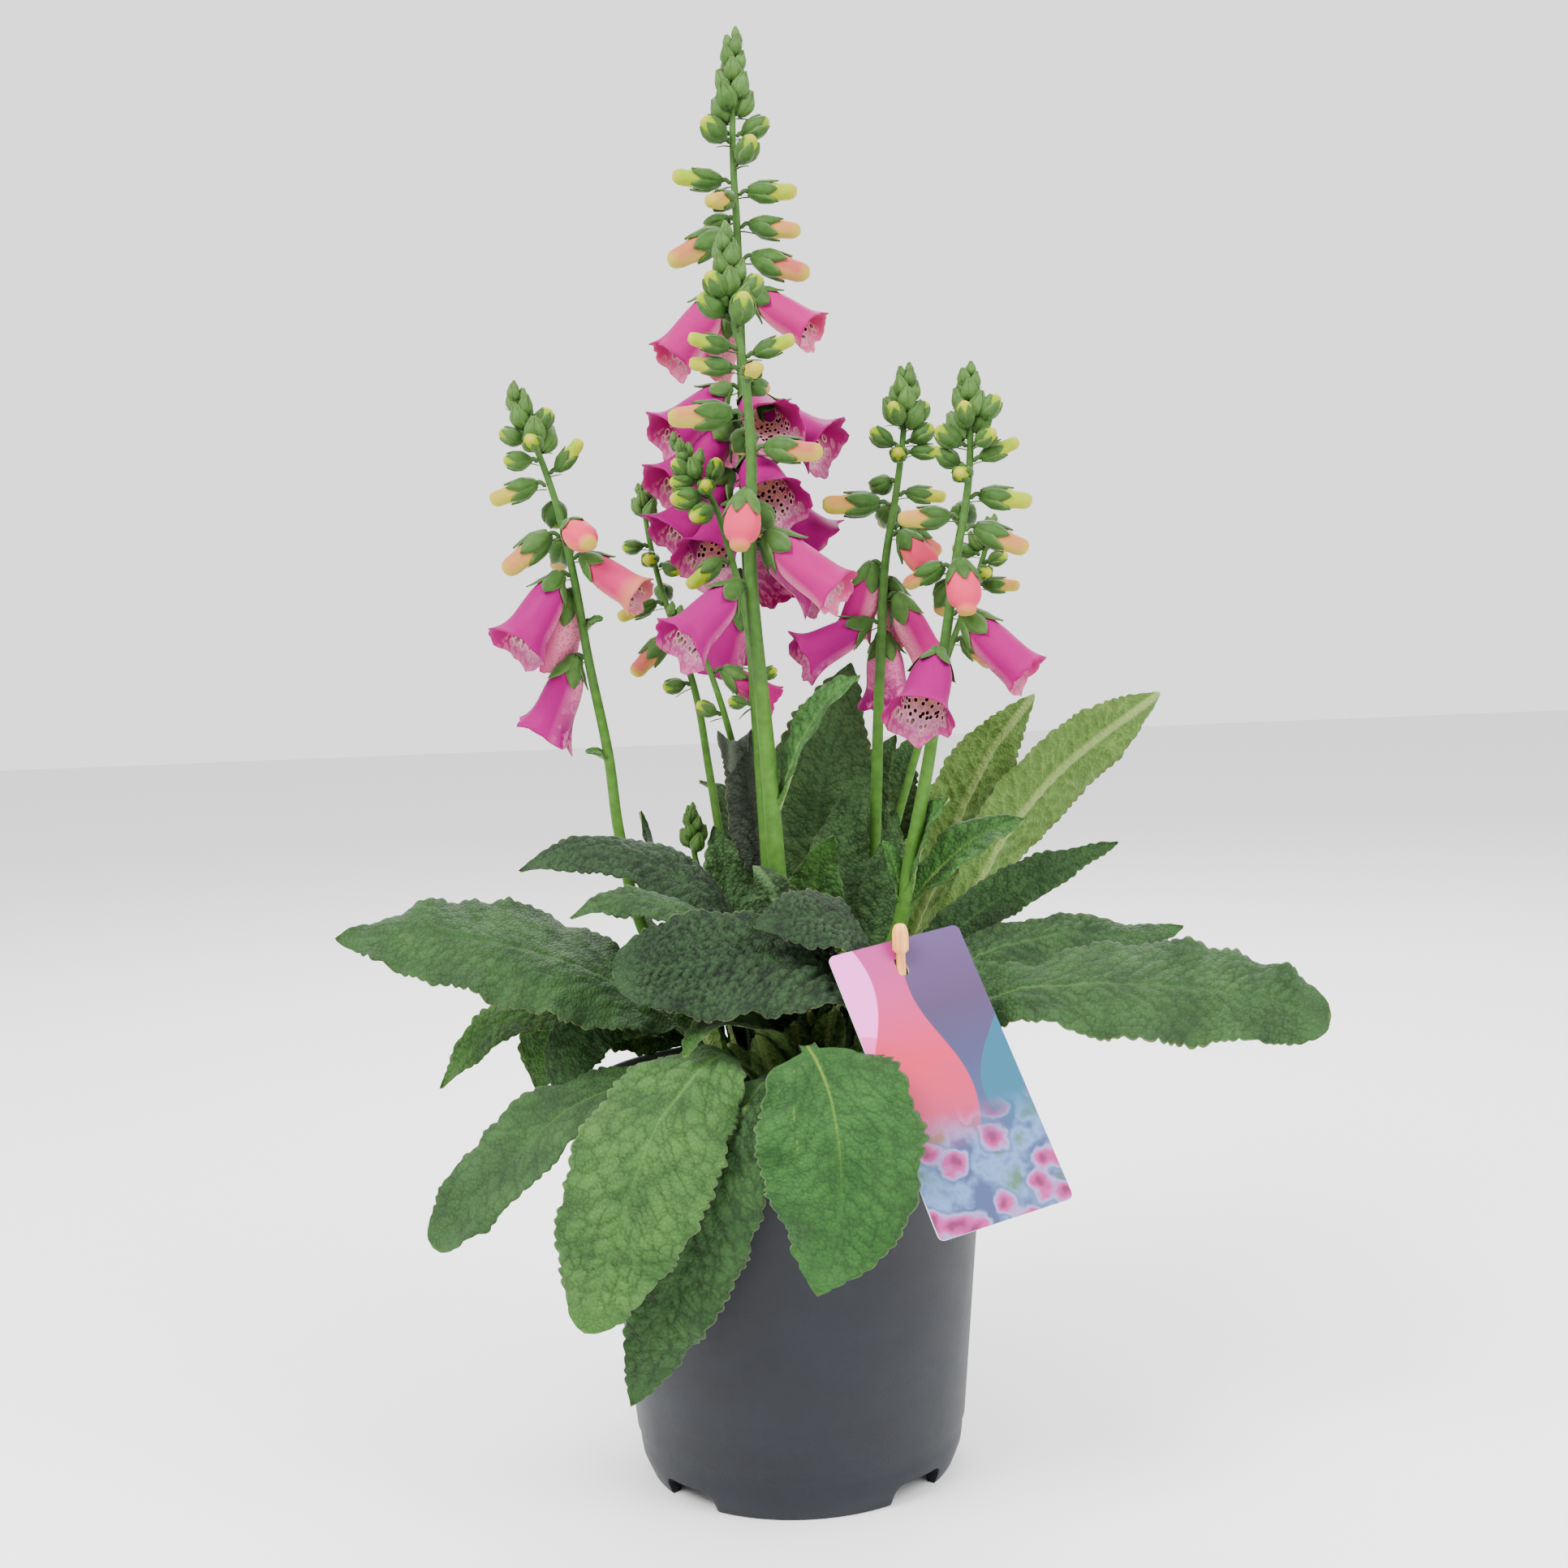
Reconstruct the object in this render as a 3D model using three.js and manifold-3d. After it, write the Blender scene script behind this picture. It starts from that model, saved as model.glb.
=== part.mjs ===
// Potted foxglove: one plant with its flower spikes and wrinkled leaves, in a plain nursery pot,
// with a plant label hung on a wooden peg. Millimetres, +Z up, front towards -Y,
// origin under the middle of the pot.
import * as THREE from 'three';
import { mergeVertices } from 'three/addons/utils/BufferGeometryUtils.js';
import Module from 'manifold-3d';

const wasm = await Module();
wasm.setup();

// Driving dimensions of the pot and its filling
const POT_HEIGHT = 165;
const POT_RIM_RADIUS = 85;
const POT_BASE_RADIUS = 68.5;
const POT_WALL = 1.6;
const POT_FLOOR = 10;
const POT_SIDES = 32;
const FOOT_COUNT = 4;
const NOTCH_WIDTH = 27;
const NOTCH_HEIGHT = 9;
const GAP = 0.3;

// The crown is where every stem and leaf stalk meets the soil, in one round hollow
const CROWN = { x: 8, y: 3, radius: 46, floor: 150, surface: 163 };
const STALK_FOOT = CROWN.floor + GAP;

// Driving dimensions of the label and its peg
const LABEL = { width: 58, length: 116, thickness: 0.8, corner: 4 };
const LABEL_SLOT = { across: 28, down: 11, width: 5.8, length: 15 };
const PEG = { x: 46, y: -61, foot: 140, slotHeight: 220, neck: 1.8, stake: 2.6, head: 3.2 };

const GREEN = 0x5f9247;
const LEAF_GREEN = 0x44733f;
const MAGENTA = 0xc43a9f;

const part = new THREE.Group();

const radians = THREE.MathUtils.degToRad;
const vector = (x, y, z) => new THREE.Vector3(x, y, z);

function addNode(name, geometry, color, roughness = 0.6) {
  const material = new THREE.MeshStandardMaterial({ color, roughness, metalness: 0 });
  const mesh = new THREE.Mesh(geometry, material);
  mesh.name = name;
  part.add(mesh);
  return mesh;
}

// Closed geometry to solid and back

function solidOf(geometry) {
  const bare = geometry.clone();
  bare.deleteAttribute('normal');
  bare.deleteAttribute('uv');
  const merged = mergeVertices(bare, 1e-4);
  const corners = merged.index.array;
  const kept = [];
  for (let i = 0; i < corners.length; i += 3) {
    const [a, b, c] = [corners[i], corners[i + 1], corners[i + 2]];
    if (a !== b && b !== c && c !== a) kept.push(a, b, c);
  }
  const vertProperties = Float32Array.from(merged.attributes.position.array);
  return new wasm.Manifold(new wasm.Mesh({ numProp: 3, vertProperties, triVerts: Uint32Array.from(kept) }));
}

function geometryOf(solid) {
  const mesh = solid.getMesh();
  const geometry = new THREE.BufferGeometry();
  geometry.setAttribute('position', new THREE.BufferAttribute(mesh.vertProperties, 3));
  geometry.setIndex(new THREE.BufferAttribute(mesh.triVerts, 1));
  geometry.computeVertexNormals();
  return geometry;
}

// Joined from the middle outwards, so that each join stays small
function joined(solids) {
  if (solids.length === 1) return solids[0];
  const half = Math.ceil(solids.length / 2);
  return joined(solids.slice(0, half)).add(joined(solids.slice(half)));
}

// A joined spike is one body: the largest piece is the plant, and a loose scrap is dropped
function largestBody(solid) {
  const bodies = solid.decompose();
  bodies.sort((one, other) => other.volume() - one.volume());
  return bodies[0];
}

function indexedGeometry(points, triangles) {
  const geometry = new THREE.BufferGeometry();
  geometry.setAttribute('position', new THREE.Float32BufferAttribute(points.flatMap((p) => p.toArray()), 3));
  geometry.setIndex(triangles);
  return geometry;
}

// A closed skin over rings of points that run anticlockwise seen from the last ring,
// closed flat at the first ring, and flat or by a tip point at the last one
function skinGeometry(rings, tip) {
  const sides = rings[0].length;
  const points = rings.flat();
  const triangles = [];
  for (let r = 0; r < rings.length - 1; r++) {
    for (let k = 0; k < sides; k++) {
      const here = r * sides + k;
      const next = r * sides + ((k + 1) % sides);
      triangles.push(here, next, next + sides, here, next + sides, here + sides);
    }
  }
  for (let k = 1; k < sides - 1; k++) triangles.push(0, k + 1, k);
  const last = (rings.length - 1) * sides;
  if (tip) {
    points.push(tip);
    for (let k = 0; k < sides; k++) triangles.push(last + k, last + ((k + 1) % sides), points.length - 1);
  } else {
    for (let k = 1; k < sides - 1; k++) triangles.push(last, last + k, last + k + 1);
  }
  return indexedGeometry(points, triangles);
}

// Pot: a tapered moulded wall on four wide feet, with slots between them for the water

function potGeometry() {
  const skirt = POT_BASE_RADIUS - 4;
  const inner = POT_RIM_RADIUS - 2.8;
  const profile = [
    [0, 0], [13, 0], [14.5, 7], [skirt - 5, 7.6], [skirt - 4.5, 0], [skirt, 0],
    [POT_BASE_RADIUS - 0.6, 9], [POT_BASE_RADIUS + 0.8, 20], [POT_BASE_RADIUS + 1.4, 20.6],
    [POT_RIM_RADIUS - 1.6, POT_HEIGHT - 5], [POT_RIM_RADIUS, POT_HEIGHT - 4.4],
    [POT_RIM_RADIUS, POT_HEIGHT - 0.8], [POT_RIM_RADIUS - 1, POT_HEIGHT], [inner, POT_HEIGHT - 0.6],
    [POT_BASE_RADIUS - POT_WALL - 1, POT_FLOOR + 6], [POT_BASE_RADIUS - 7, POT_FLOOR], [0, POT_FLOOR],
  ].map(([radius, height]) => new THREE.Vector2(radius, height));
  const lathe = new THREE.LatheGeometry(profile, POT_SIDES);
  lathe.rotateX(Math.PI / 2);
  let pot = solidOf(lathe);
  for (let foot = 0; foot < FOOT_COUNT; foot++) {
    const notch = new THREE.BoxGeometry(18, NOTCH_WIDTH, 2 * NOTCH_HEIGHT);
    notch.translate(POT_BASE_RADIUS - 2, 0, 0);
    notch.rotateZ(radians(45 + (foot * 360) / FOOT_COUNT));
    pot = pot.subtract(solidOf(notch));
  }
  return geometryOf(pot);
}

// Soil: fills the pot to just under the rim, heaped a little, with the crown's hollow in it
function soilGeometry() {
  const wallAt = (height) =>
    THREE.MathUtils.mapLinear(height, POT_FLOOR + 6, POT_HEIGHT - 0.6, POT_BASE_RADIUS - 2.6, POT_RIM_RADIUS - 2.8);
  const profile = [
    [0, POT_FLOOR + GAP], [POT_BASE_RADIUS - 8, POT_FLOOR + GAP],
    [wallAt(POT_FLOOR + 7) - GAP - 0.2, POT_FLOOR + 7], [wallAt(160) - GAP - 0.3, 160],
    [POT_RIM_RADIUS - 9, CROWN.surface + 1.5], [58, CROWN.surface + 2], [0, CROWN.surface + 2.5],
  ].map(([radius, height]) => new THREE.Vector2(radius, height));
  const lathe = new THREE.LatheGeometry(profile, 24);
  lathe.rotateX(Math.PI / 2);
  const hollow = new THREE.CylinderGeometry(CROWN.radius, CROWN.radius, 40, 18);
  hollow.rotateX(Math.PI / 2);
  hollow.translate(CROWN.x, CROWN.y, CROWN.floor + 20);
  const pegHole = new THREE.CylinderGeometry(PEG.stake + 0.5, PEG.stake + 0.5, 60, 8);
  pegHole.rotateX(Math.PI / 2);
  pegHole.translate(PEG.x, PEG.y, PEG.foot - GAP + 30);
  return geometryOf(solidOf(lathe).subtract(solidOf(hollow)).subtract(solidOf(pegHole)));
}

// Leaves: a stalk that widens into a blade with a raised rib and a waved, notched edge.
// lean is the compass direction that the leaf bends towards (0 is +X, 90 is +Y), roll turns
// the blade about its rib, and curl lifts its edges (or drops them, when negative).

function leafGeometry({ width, lean, roll, curl = 0.1, path, stations = 9, stalk = 0.26 }) {
  const curve = new THREE.CatmullRomCurve3(path.map((point) => vector(...point)), false, 'centripetal');
  const across = vector(-Math.sin(radians(lean)), Math.cos(radians(lean)), 0);
  const stalkHalf = 3.2;
  const top = [];
  const bottom = [];
  for (let j = 0; j < stations; j++) {
    const u = j / (stations - 1);
    const centre = curve.getPointAt(u);
    const along = j === 0 ? vector(0, 0, 1) : curve.getTangentAt(u);
    const side = across.clone().addScaledVector(along, -across.dot(along)).normalize();
    side.applyAxisAngle(along, radians(j === 0 ? 0 : THREE.MathUtils.lerp(roll * 0.6, roll, u)));
    const up = vector(0, 0, 0).crossVectors(along, side);
    const v = Math.max(0, (u - stalk) / (1 - stalk));
    const notch = j % 2 === 0 ? 1 : -1;
    const bladeHalf = (width / 2) * Math.sin(Math.PI * v ** 0.8) ** 0.65 * (1 + 0.05 * notch);
    const half = Math.max(bladeHalf, stalkHalf * (1 - 0.8 * v));
    const rib = THREE.MathUtils.lerp(3, 1.4, Math.min(1, u * 1.6));
    const edge = v > 0 ? 0.7 : THREE.MathUtils.lerp(2.4, 1.2, u / stalk);
    const wave = v > 0 && v < 1 ? 0.045 * width * notch : 0;
    const topRow = [];
    const bottomRow = [];
    for (const place of [1, 0, -1]) {
      const lift = place === 0 ? 0 : curl * half + wave * place;
      const point = centre.clone().addScaledVector(side, place * half).addScaledVector(up, lift);
      topRow.push(point);
      bottomRow.push(point.clone().addScaledVector(up, place === 0 ? -rib : -edge));
    }
    top.push(topRow);
    bottom.push(bottomRow);
  }
  return bladeGeometry(top, bottom);
}

// Both faces of a blade are split alike, three points to a row, and closed round the edge
function bladeGeometry(top, bottom) {
  const points = [...top.flat(), ...bottom.flat()];
  const rows = top.length;
  const under = rows * 3;
  const triangles = [];
  const face = (a, b, c, d) => triangles.push(a, b, c, a, c, d);
  for (let j = 0; j < rows - 1; j++) {
    const here = j * 3;
    for (let c = 0; c < 2; c++) {
      const corner = here + c;
      face(corner, corner + 1, corner + 4, corner + 3);
      triangles.push(under + corner, under + corner + 4, under + corner + 1);
      triangles.push(under + corner, under + corner + 3, under + corner + 4);
    }
    face(here, here + 3, under + here + 3, under + here);
    face(here + 2, under + here + 2, under + here + 5, here + 5);
  }
  const last = (rows - 1) * 3;
  for (let c = 0; c < 2; c++) {
    face(c, under + c, under + c + 1, c + 1);
    face(last + c, last + c + 1, under + last + c + 1, under + last + c);
  }
  return indexedGeometry(points, triangles);
}

// Where each leaf stands in the crown, then the points that its rib passes through
const LEAVES = {
  leaf_left_1: { width: 58, lean: 193, roll: -42, curl: -0.12, stations: 12,
    path: [[-20, -10], [-26, -12, 172], [-56, -22, 203], [-88, -30, 222], [-119, -38, 233], [-150, -42, 237],
      [-179, -42, 237]] },
  leaf_left_2: { width: 32, lean: 190, roll: -42, curl: -0.1,
    path: [[-13, -9], [-14, -11, 190], [-24, -12, 236], [-47, -20, 256], [-73, -26, 266], [-92, -29, 265],
      [-106, -30, 260]] },
  leaf_left_3: { width: 26, lean: 205, roll: -35, curl: -0.2,
    path: [[-8, -20], [-10, -27, 190], [-22, -39, 225], [-37, -48, 242], [-56, -55, 250], [-72, -58, 249],
      [-83, -60, 244]] },
  leaf_left_4: { width: 24, lean: 170, roll: 0, curl: 0.2, stations: 9,
    path: [[-22, 14], [-26, 16, 176], [-44, 20, 208], [-57, 20, 226], [-67, 20, 237], [-75, 20, 243]] },
  leaf_left_5: { width: 30, lean: 178, roll: -46, curl: 0.15,
    path: [[-28, 8], [-33, 8, 172], [-64, 8, 190], [-91, 6, 198], [-113, 4, 195], [-132, 2, 183], [-148, 0, 165]] },
  leaf_left_6: { width: 36, lean: 165, roll: -46, curl: -0.1,
    path: [[-28, 16], [-33, 20, 172], [-62, 26, 186], [-88, 29, 190], [-102, 30, 178], [-107, 29, 155]] },
  leaf_left_7: { width: 24, lean: 200, roll: -25, curl: -0.1, stations: 10,
    path: [[-28, -4], [-33, -6, 171], [-56, -16, 186], [-74, -24, 190], [-84, -30, 180], [-88, -34, 164]] },
  leaf_left_8: { width: 44, lean: 210, roll: -22, curl: 0.1,
    path: [[-22, -18], [-26, -22, 170], [-43, -32, 180], [-66, -46, 180], [-89, -60, 169], [-115, -72, 146],
      [-139, -80, 121]] },
  leaf_front_1: { width: 56, lean: 230, roll: -26, curl: -0.12, stations: 12,
    path: [[-8, -28], [-11, -35, 171], [-26, -62, 188], [-49, -91, 169], [-65, -104, 134], [-79, -108, 95]] },
  leaf_front_2: { width: 42, lean: 245, roll: -12, curl: -0.08,
    path: [[0, -30], [-1, -37, 171], [-10, -67, 178], [-24, -92, 160], [-46, -94, 106], [-65, -87, 58]] },
  leaf_front_3: { width: 60, lean: 272, roll: 10, curl: -0.1, stations: 12, stalk: 0.42,
    path: [[12, -28], [11, -38, 172], [8, -74, 194], [16, -104, 178], [18, -115, 145], [8, -112, 107]] },
  leaf_front_4: { width: 46, lean: 250, roll: -58, curl: -0.06, stations: 12,
    path: [[20, -16], [28, -27, 190], [27, -43, 214], [6, -59, 223], [-20, -67, 226], [-46, -71, 225],
      [-66, -72, 223]] },
  leaf_front_5: { width: 36, lean: 225, roll: -50, curl: -0.06,
    path: [[29, -19], [38, -27, 188], [37, -35, 217], [25, -46, 234], [8, -62, 241], [-11, -73, 240]] },
  leaf_front_6: { width: 22, lean: 215, roll: -20, curl: 0.3, stations: 8,
    path: [[4, -24], [1, -32, 176], [-12, -51, 196], [-30, -67, 201], [-40, -76, 191]] },
  leaf_front_7: { width: 18, lean: 300, roll: 0, curl: 0.1, stations: 8,
    path: [[22, -28], [25, -38, 172], [32, -54, 186], [37, -62, 186]] },
  leaf_right_1: { width: 54, lean: 347, roll: 42, curl: -0.1, stations: 12,
    path: [[38, -8], [46, -12, 170], [64, -24, 192], [94, -34, 204], [141, -42, 206], [185, -46, 201],
      [218, -46, 191]] },
  leaf_right_2: { width: 34, lean: 0, roll: 40, curl: -0.18,
    path: [[40, 0], [46, 0, 174], [61, 0, 200], [82, 0, 213], [115, 2, 220], [149, 3, 219], [170, 3, 222]] },
  leaf_right_3: { width: 24, lean: 8, roll: 52, curl: 0.12,
    path: [[42, 11], [47, 14, 174], [62, 24, 205], [82, 31, 224], [104, 34, 237], [129, 36, 248], [149, 37, 255]] },
  leaf_right_4: { width: 36, lean: 15, roll: -95, curl: 0.12,
    path: [[41, 19], [46, 27, 176], [62, 44, 206], [83, 52, 230], [103, 57, 260], [130, 61, 288], [174, 64, 319]] },
  leaf_right_5: { width: 42, lean: 25, roll: -105, curl: 0.08, stations: 12,
    path: [[29, 31], [36, 39, 178], [56, 62, 210], [72, 73, 241], [86, 79, 272], [101, 82, 297], [120, 84, 320]] },
  leaf_crown_1: { width: 50, lean: 88, roll: -6, curl: 0.06, stations: 12,
    path: [[10, 24], [10, 30, 180], [12, 40, 206], [15, 46, 240], [18, 50, 275], [25, 54, 309], [35, 54, 338]] },
  leaf_crown_2: { width: 32, lean: 80, roll: 0, curl: 0.15,
    path: [[16, 12], [18, 14, 180], [20, 16, 212], [24, 18, 246], [30, 20, 271], [34, 18, 288]] },
  leaf_crown_3: { width: 24, lean: 80, roll: 10, curl: 0.35, stations: 10,
    path: [[12, -3], [10, -2, 180], [9, -1, 211], [13, -1, 238], [17, -3, 256], [23, -7, 267]] },
  leaf_crown_4: { width: 24, lean: 120, roll: 0, curl: -0.15, stations: 11, stalk: 0.55,
    path: [[-3, 9], [-4, 8, 180], [-7, 8, 240], [-10, 8, 280], [-14, 6, 303], [-18, 0, 307], [-19, -5, 294]] },
  leaf_crown_5: { width: 30, lean: 100, roll: 0, curl: 0.1,
    path: [[-14, 10], [-16, 12, 180], [-20, 17, 213], [-23, 19, 238], [-25, 19, 256], [-28, 17, 271]] },
  leaf_crown_6: { width: 26, lean: 150, roll: -20, curl: 0.05,
    path: [[-7, 32], [-9, 40, 180], [-15, 52, 230], [-20, 57, 262], [-26, 59, 282], [-35, 57, 288]] },
  leaf_crown_7: { width: 32, lean: 285, roll: 0, curl: -0.06,
    path: [[12, -12], [9, -17, 180], [4, -24, 209], [0, -30, 232], [-4, -33, 249], [-11, -34, 259]] },
  leaf_crown_8: { width: 22, lean: 75, roll: 0, curl: 0.1,
    path: [[27, 9], [29, 8, 180], [36, 5, 208], [42, 4, 234], [47, 4, 258], [50, 3, 275]] },
  leaf_crown_9: { width: 34, lean: 70, roll: 12, curl: 0.1,
    path: [[18, 29], [22, 38, 180], [31, 52, 208], [35, 60, 250], [39, 61, 280], [54, 56, 305]] },
  leaf_crown_10: { width: 32, lean: 60, roll: 20, curl: 0.1,
    path: [[24, 34], [29, 43, 180], [40, 72, 208], [50, 88, 250], [57, 91, 284], [64, 88, 304]] },
  leaf_crown_11: { width: 22, lean: 160, roll: 0, curl: 0.1, stations: 8,
    path: [[-21, 23], [-23, 25, 180], [-37, 33, 218], [-53, 37, 249], [-60, 38, 277]] },
};

// Leaves that the front view hides, in two tiers round the back
const BACK_TIERS = {
  low: { leans: [80, 110, 142], reach: 152, top: 206, drop: 50, width: 50 },
  high: { leans: [90], reach: 106, top: 258, drop: 6, width: 40 },
};
const BACK_FOOT = 40;

function backLeaves() {
  const leaves = {};
  for (const [tierName, { leans, reach, top, drop, width }] of Object.entries(BACK_TIERS)) {
    leans.forEach((lean, k) => {
      const out = (share, height) => {
        const distance = BACK_FOOT + (reach - BACK_FOOT) * share;
        return [CROWN.x + distance * Math.cos(radians(lean)), CROWN.y + distance * Math.sin(radians(lean)), height];
      };
      leaves[`leaf_back_${tierName}_${k + 1}`] = { width, lean, roll: 0, curl: -0.08,
        path: [out(0).slice(0, 2), out(0.04, 174), out(0.34, (top + 174) / 2 + 12), out(0.64, top),
          out(0.84, top - drop * 0.3), out(1, top - drop)] };
    });
  }
  return leaves;
}

// Spikes: a stem with florets in a spiral, tight green buds at the top and open bells below.
// Each row of a stage gives the distance along the floret and its radius there.
const STAGES = {
  tight: { sides: 4, stalk: 1.5, rows: [[4, 3.6]], tip: 9.5 },
  green: { sides: 4, stalk: 3.5, rows: [[6, 5]], tip: 12.5 },
  long: { sides: 4, stalk: 5, rows: [[6, 5.2], [16, 4.2]], tip: 20 },
  blush: { sides: 5, stalk: 5, rows: [[0.5, 2.6], [7, 5.6], [17, 7]], tip: 23 },
  opening: { sides: 6, stalk: 5, rows: [[0.5, 2.6], [6, 5.6], [20, 7.6]], mouth: [31, 8.8], hollow: [19, 5.6] },
  bell: { sides: 6, stalk: 5, rows: [[0.5, 2.6], [6, 5.8], [24, 9.2]], mouth: [36, 13.4], hollow: [21, 6.8] },
};
const LIP_REACH = 5;

// A row of a floret list is its stage, the height where it leaves the stem, its direction round
// the stem, its pitch above the level, and its size
function floretGeometry(stem, [stageName, height, direction, pitch, size = 1]) {
  const stage = STAGES[stageName];
  const flat = vector(Math.cos(radians(direction)), Math.sin(radians(direction)), 0);
  const ahead = flat.clone().multiplyScalar(Math.cos(radians(pitch))).setZ(Math.sin(radians(pitch)));
  const side = vector(-flat.y, flat.x, 0);
  const upward = vector(0, 0, 0).crossVectors(ahead, side);
  const root = pointAtHeight(stem, height);
  const foot = root.clone().addScaledVector(flat, stage.stalk * size * 0.8 + 2);
  foot.z += stage.stalk * 0.35;
  const ring = (distance, radius, lip = 0) => {
    const points = [];
    for (let k = 0; k < stage.sides; k++) {
      const turn = (2 * Math.PI * (k + 0.25)) / stage.sides;
      const low = Math.max(0, -Math.sin(turn));
      points.push(foot.clone().addScaledVector(ahead, (distance + lip * low) * size)
        .addScaledVector(side, radius * size * Math.cos(turn))
        .addScaledVector(upward, radius * size * Math.sin(turn)));
    }
    return points;
  };
  const rings = [
    ring(0, 1.2).map((point) => point.sub(foot).multiplyScalar(1 / size).add(root)),
    ...stage.rows.map(([distance, radius]) => ring(distance, radius)),
  ];
  if (stage.tip) return skinGeometry(rings, foot.clone().addScaledVector(ahead, stage.tip * size));
  return skinGeometry([...rings, ring(...stage.mouth, LIP_REACH), ring(...stage.hollow)]);
}

function pointAtHeight(stem, height) {
  const upper = Math.max(1, stem.findIndex((point) => point[2] >= height));
  const [below, above] = [stem[upper - 1], stem[upper]];
  const share = (height - below[2]) / (above[2] - below[2]);
  return vector(...below).lerp(vector(...above), THREE.MathUtils.clamp(share, 0, 1));
}

// Tight buds round the last stretch of a stem, each turned on by the golden angle
function clusterRows(top, count, span, start) {
  const rows = [['tight', top - 3, 0, 88, 0.7]];
  for (let k = 1; k < count; k++) {
    const share = k / (count - 1);
    rows.push(['tight', top - 4 - span * share ** 1.1, start + 137.5 * k, 74 - 24 * share, 0.85 + 0.35 * share]);
  }
  return rows;
}

function stemGeometry(stem, thickness) {
  const sides = 5;
  const rings = stem.map(([x, y, z], at) => {
    const radius = THREE.MathUtils.lerp(thickness, 1.2, (at / (stem.length - 1)) ** 1.5);
    return Array.from({ length: sides }, (_, k) => {
      const turn = (2 * Math.PI * k) / sides;
      return vector(x + radius * Math.cos(turn), y + radius * Math.sin(turn), z);
    });
  });
  const top = vector(...stem[stem.length - 1]);
  top.z += 2;
  return skinGeometry(rings, top);
}

// Small leaves on a stem are rooted in it and stay in its node
function stemLeaf([height, direction, length, rise, width], stem) {
  const root = pointAtHeight(stem, height);
  const out = (share, lift) => [
    root.x + length * share * Math.cos(radians(direction)),
    root.y + length * share * Math.sin(radians(direction)), root.z + lift * rise,
  ];
  return leafGeometry({ width, lean: direction, roll: 0, curl: 0.25, stations: 8, stalk: 0.15,
    path: [out(0, 0), out(0.2, 0.3), out(0.6, 0.8), out(1, 1)] });
}

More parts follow.
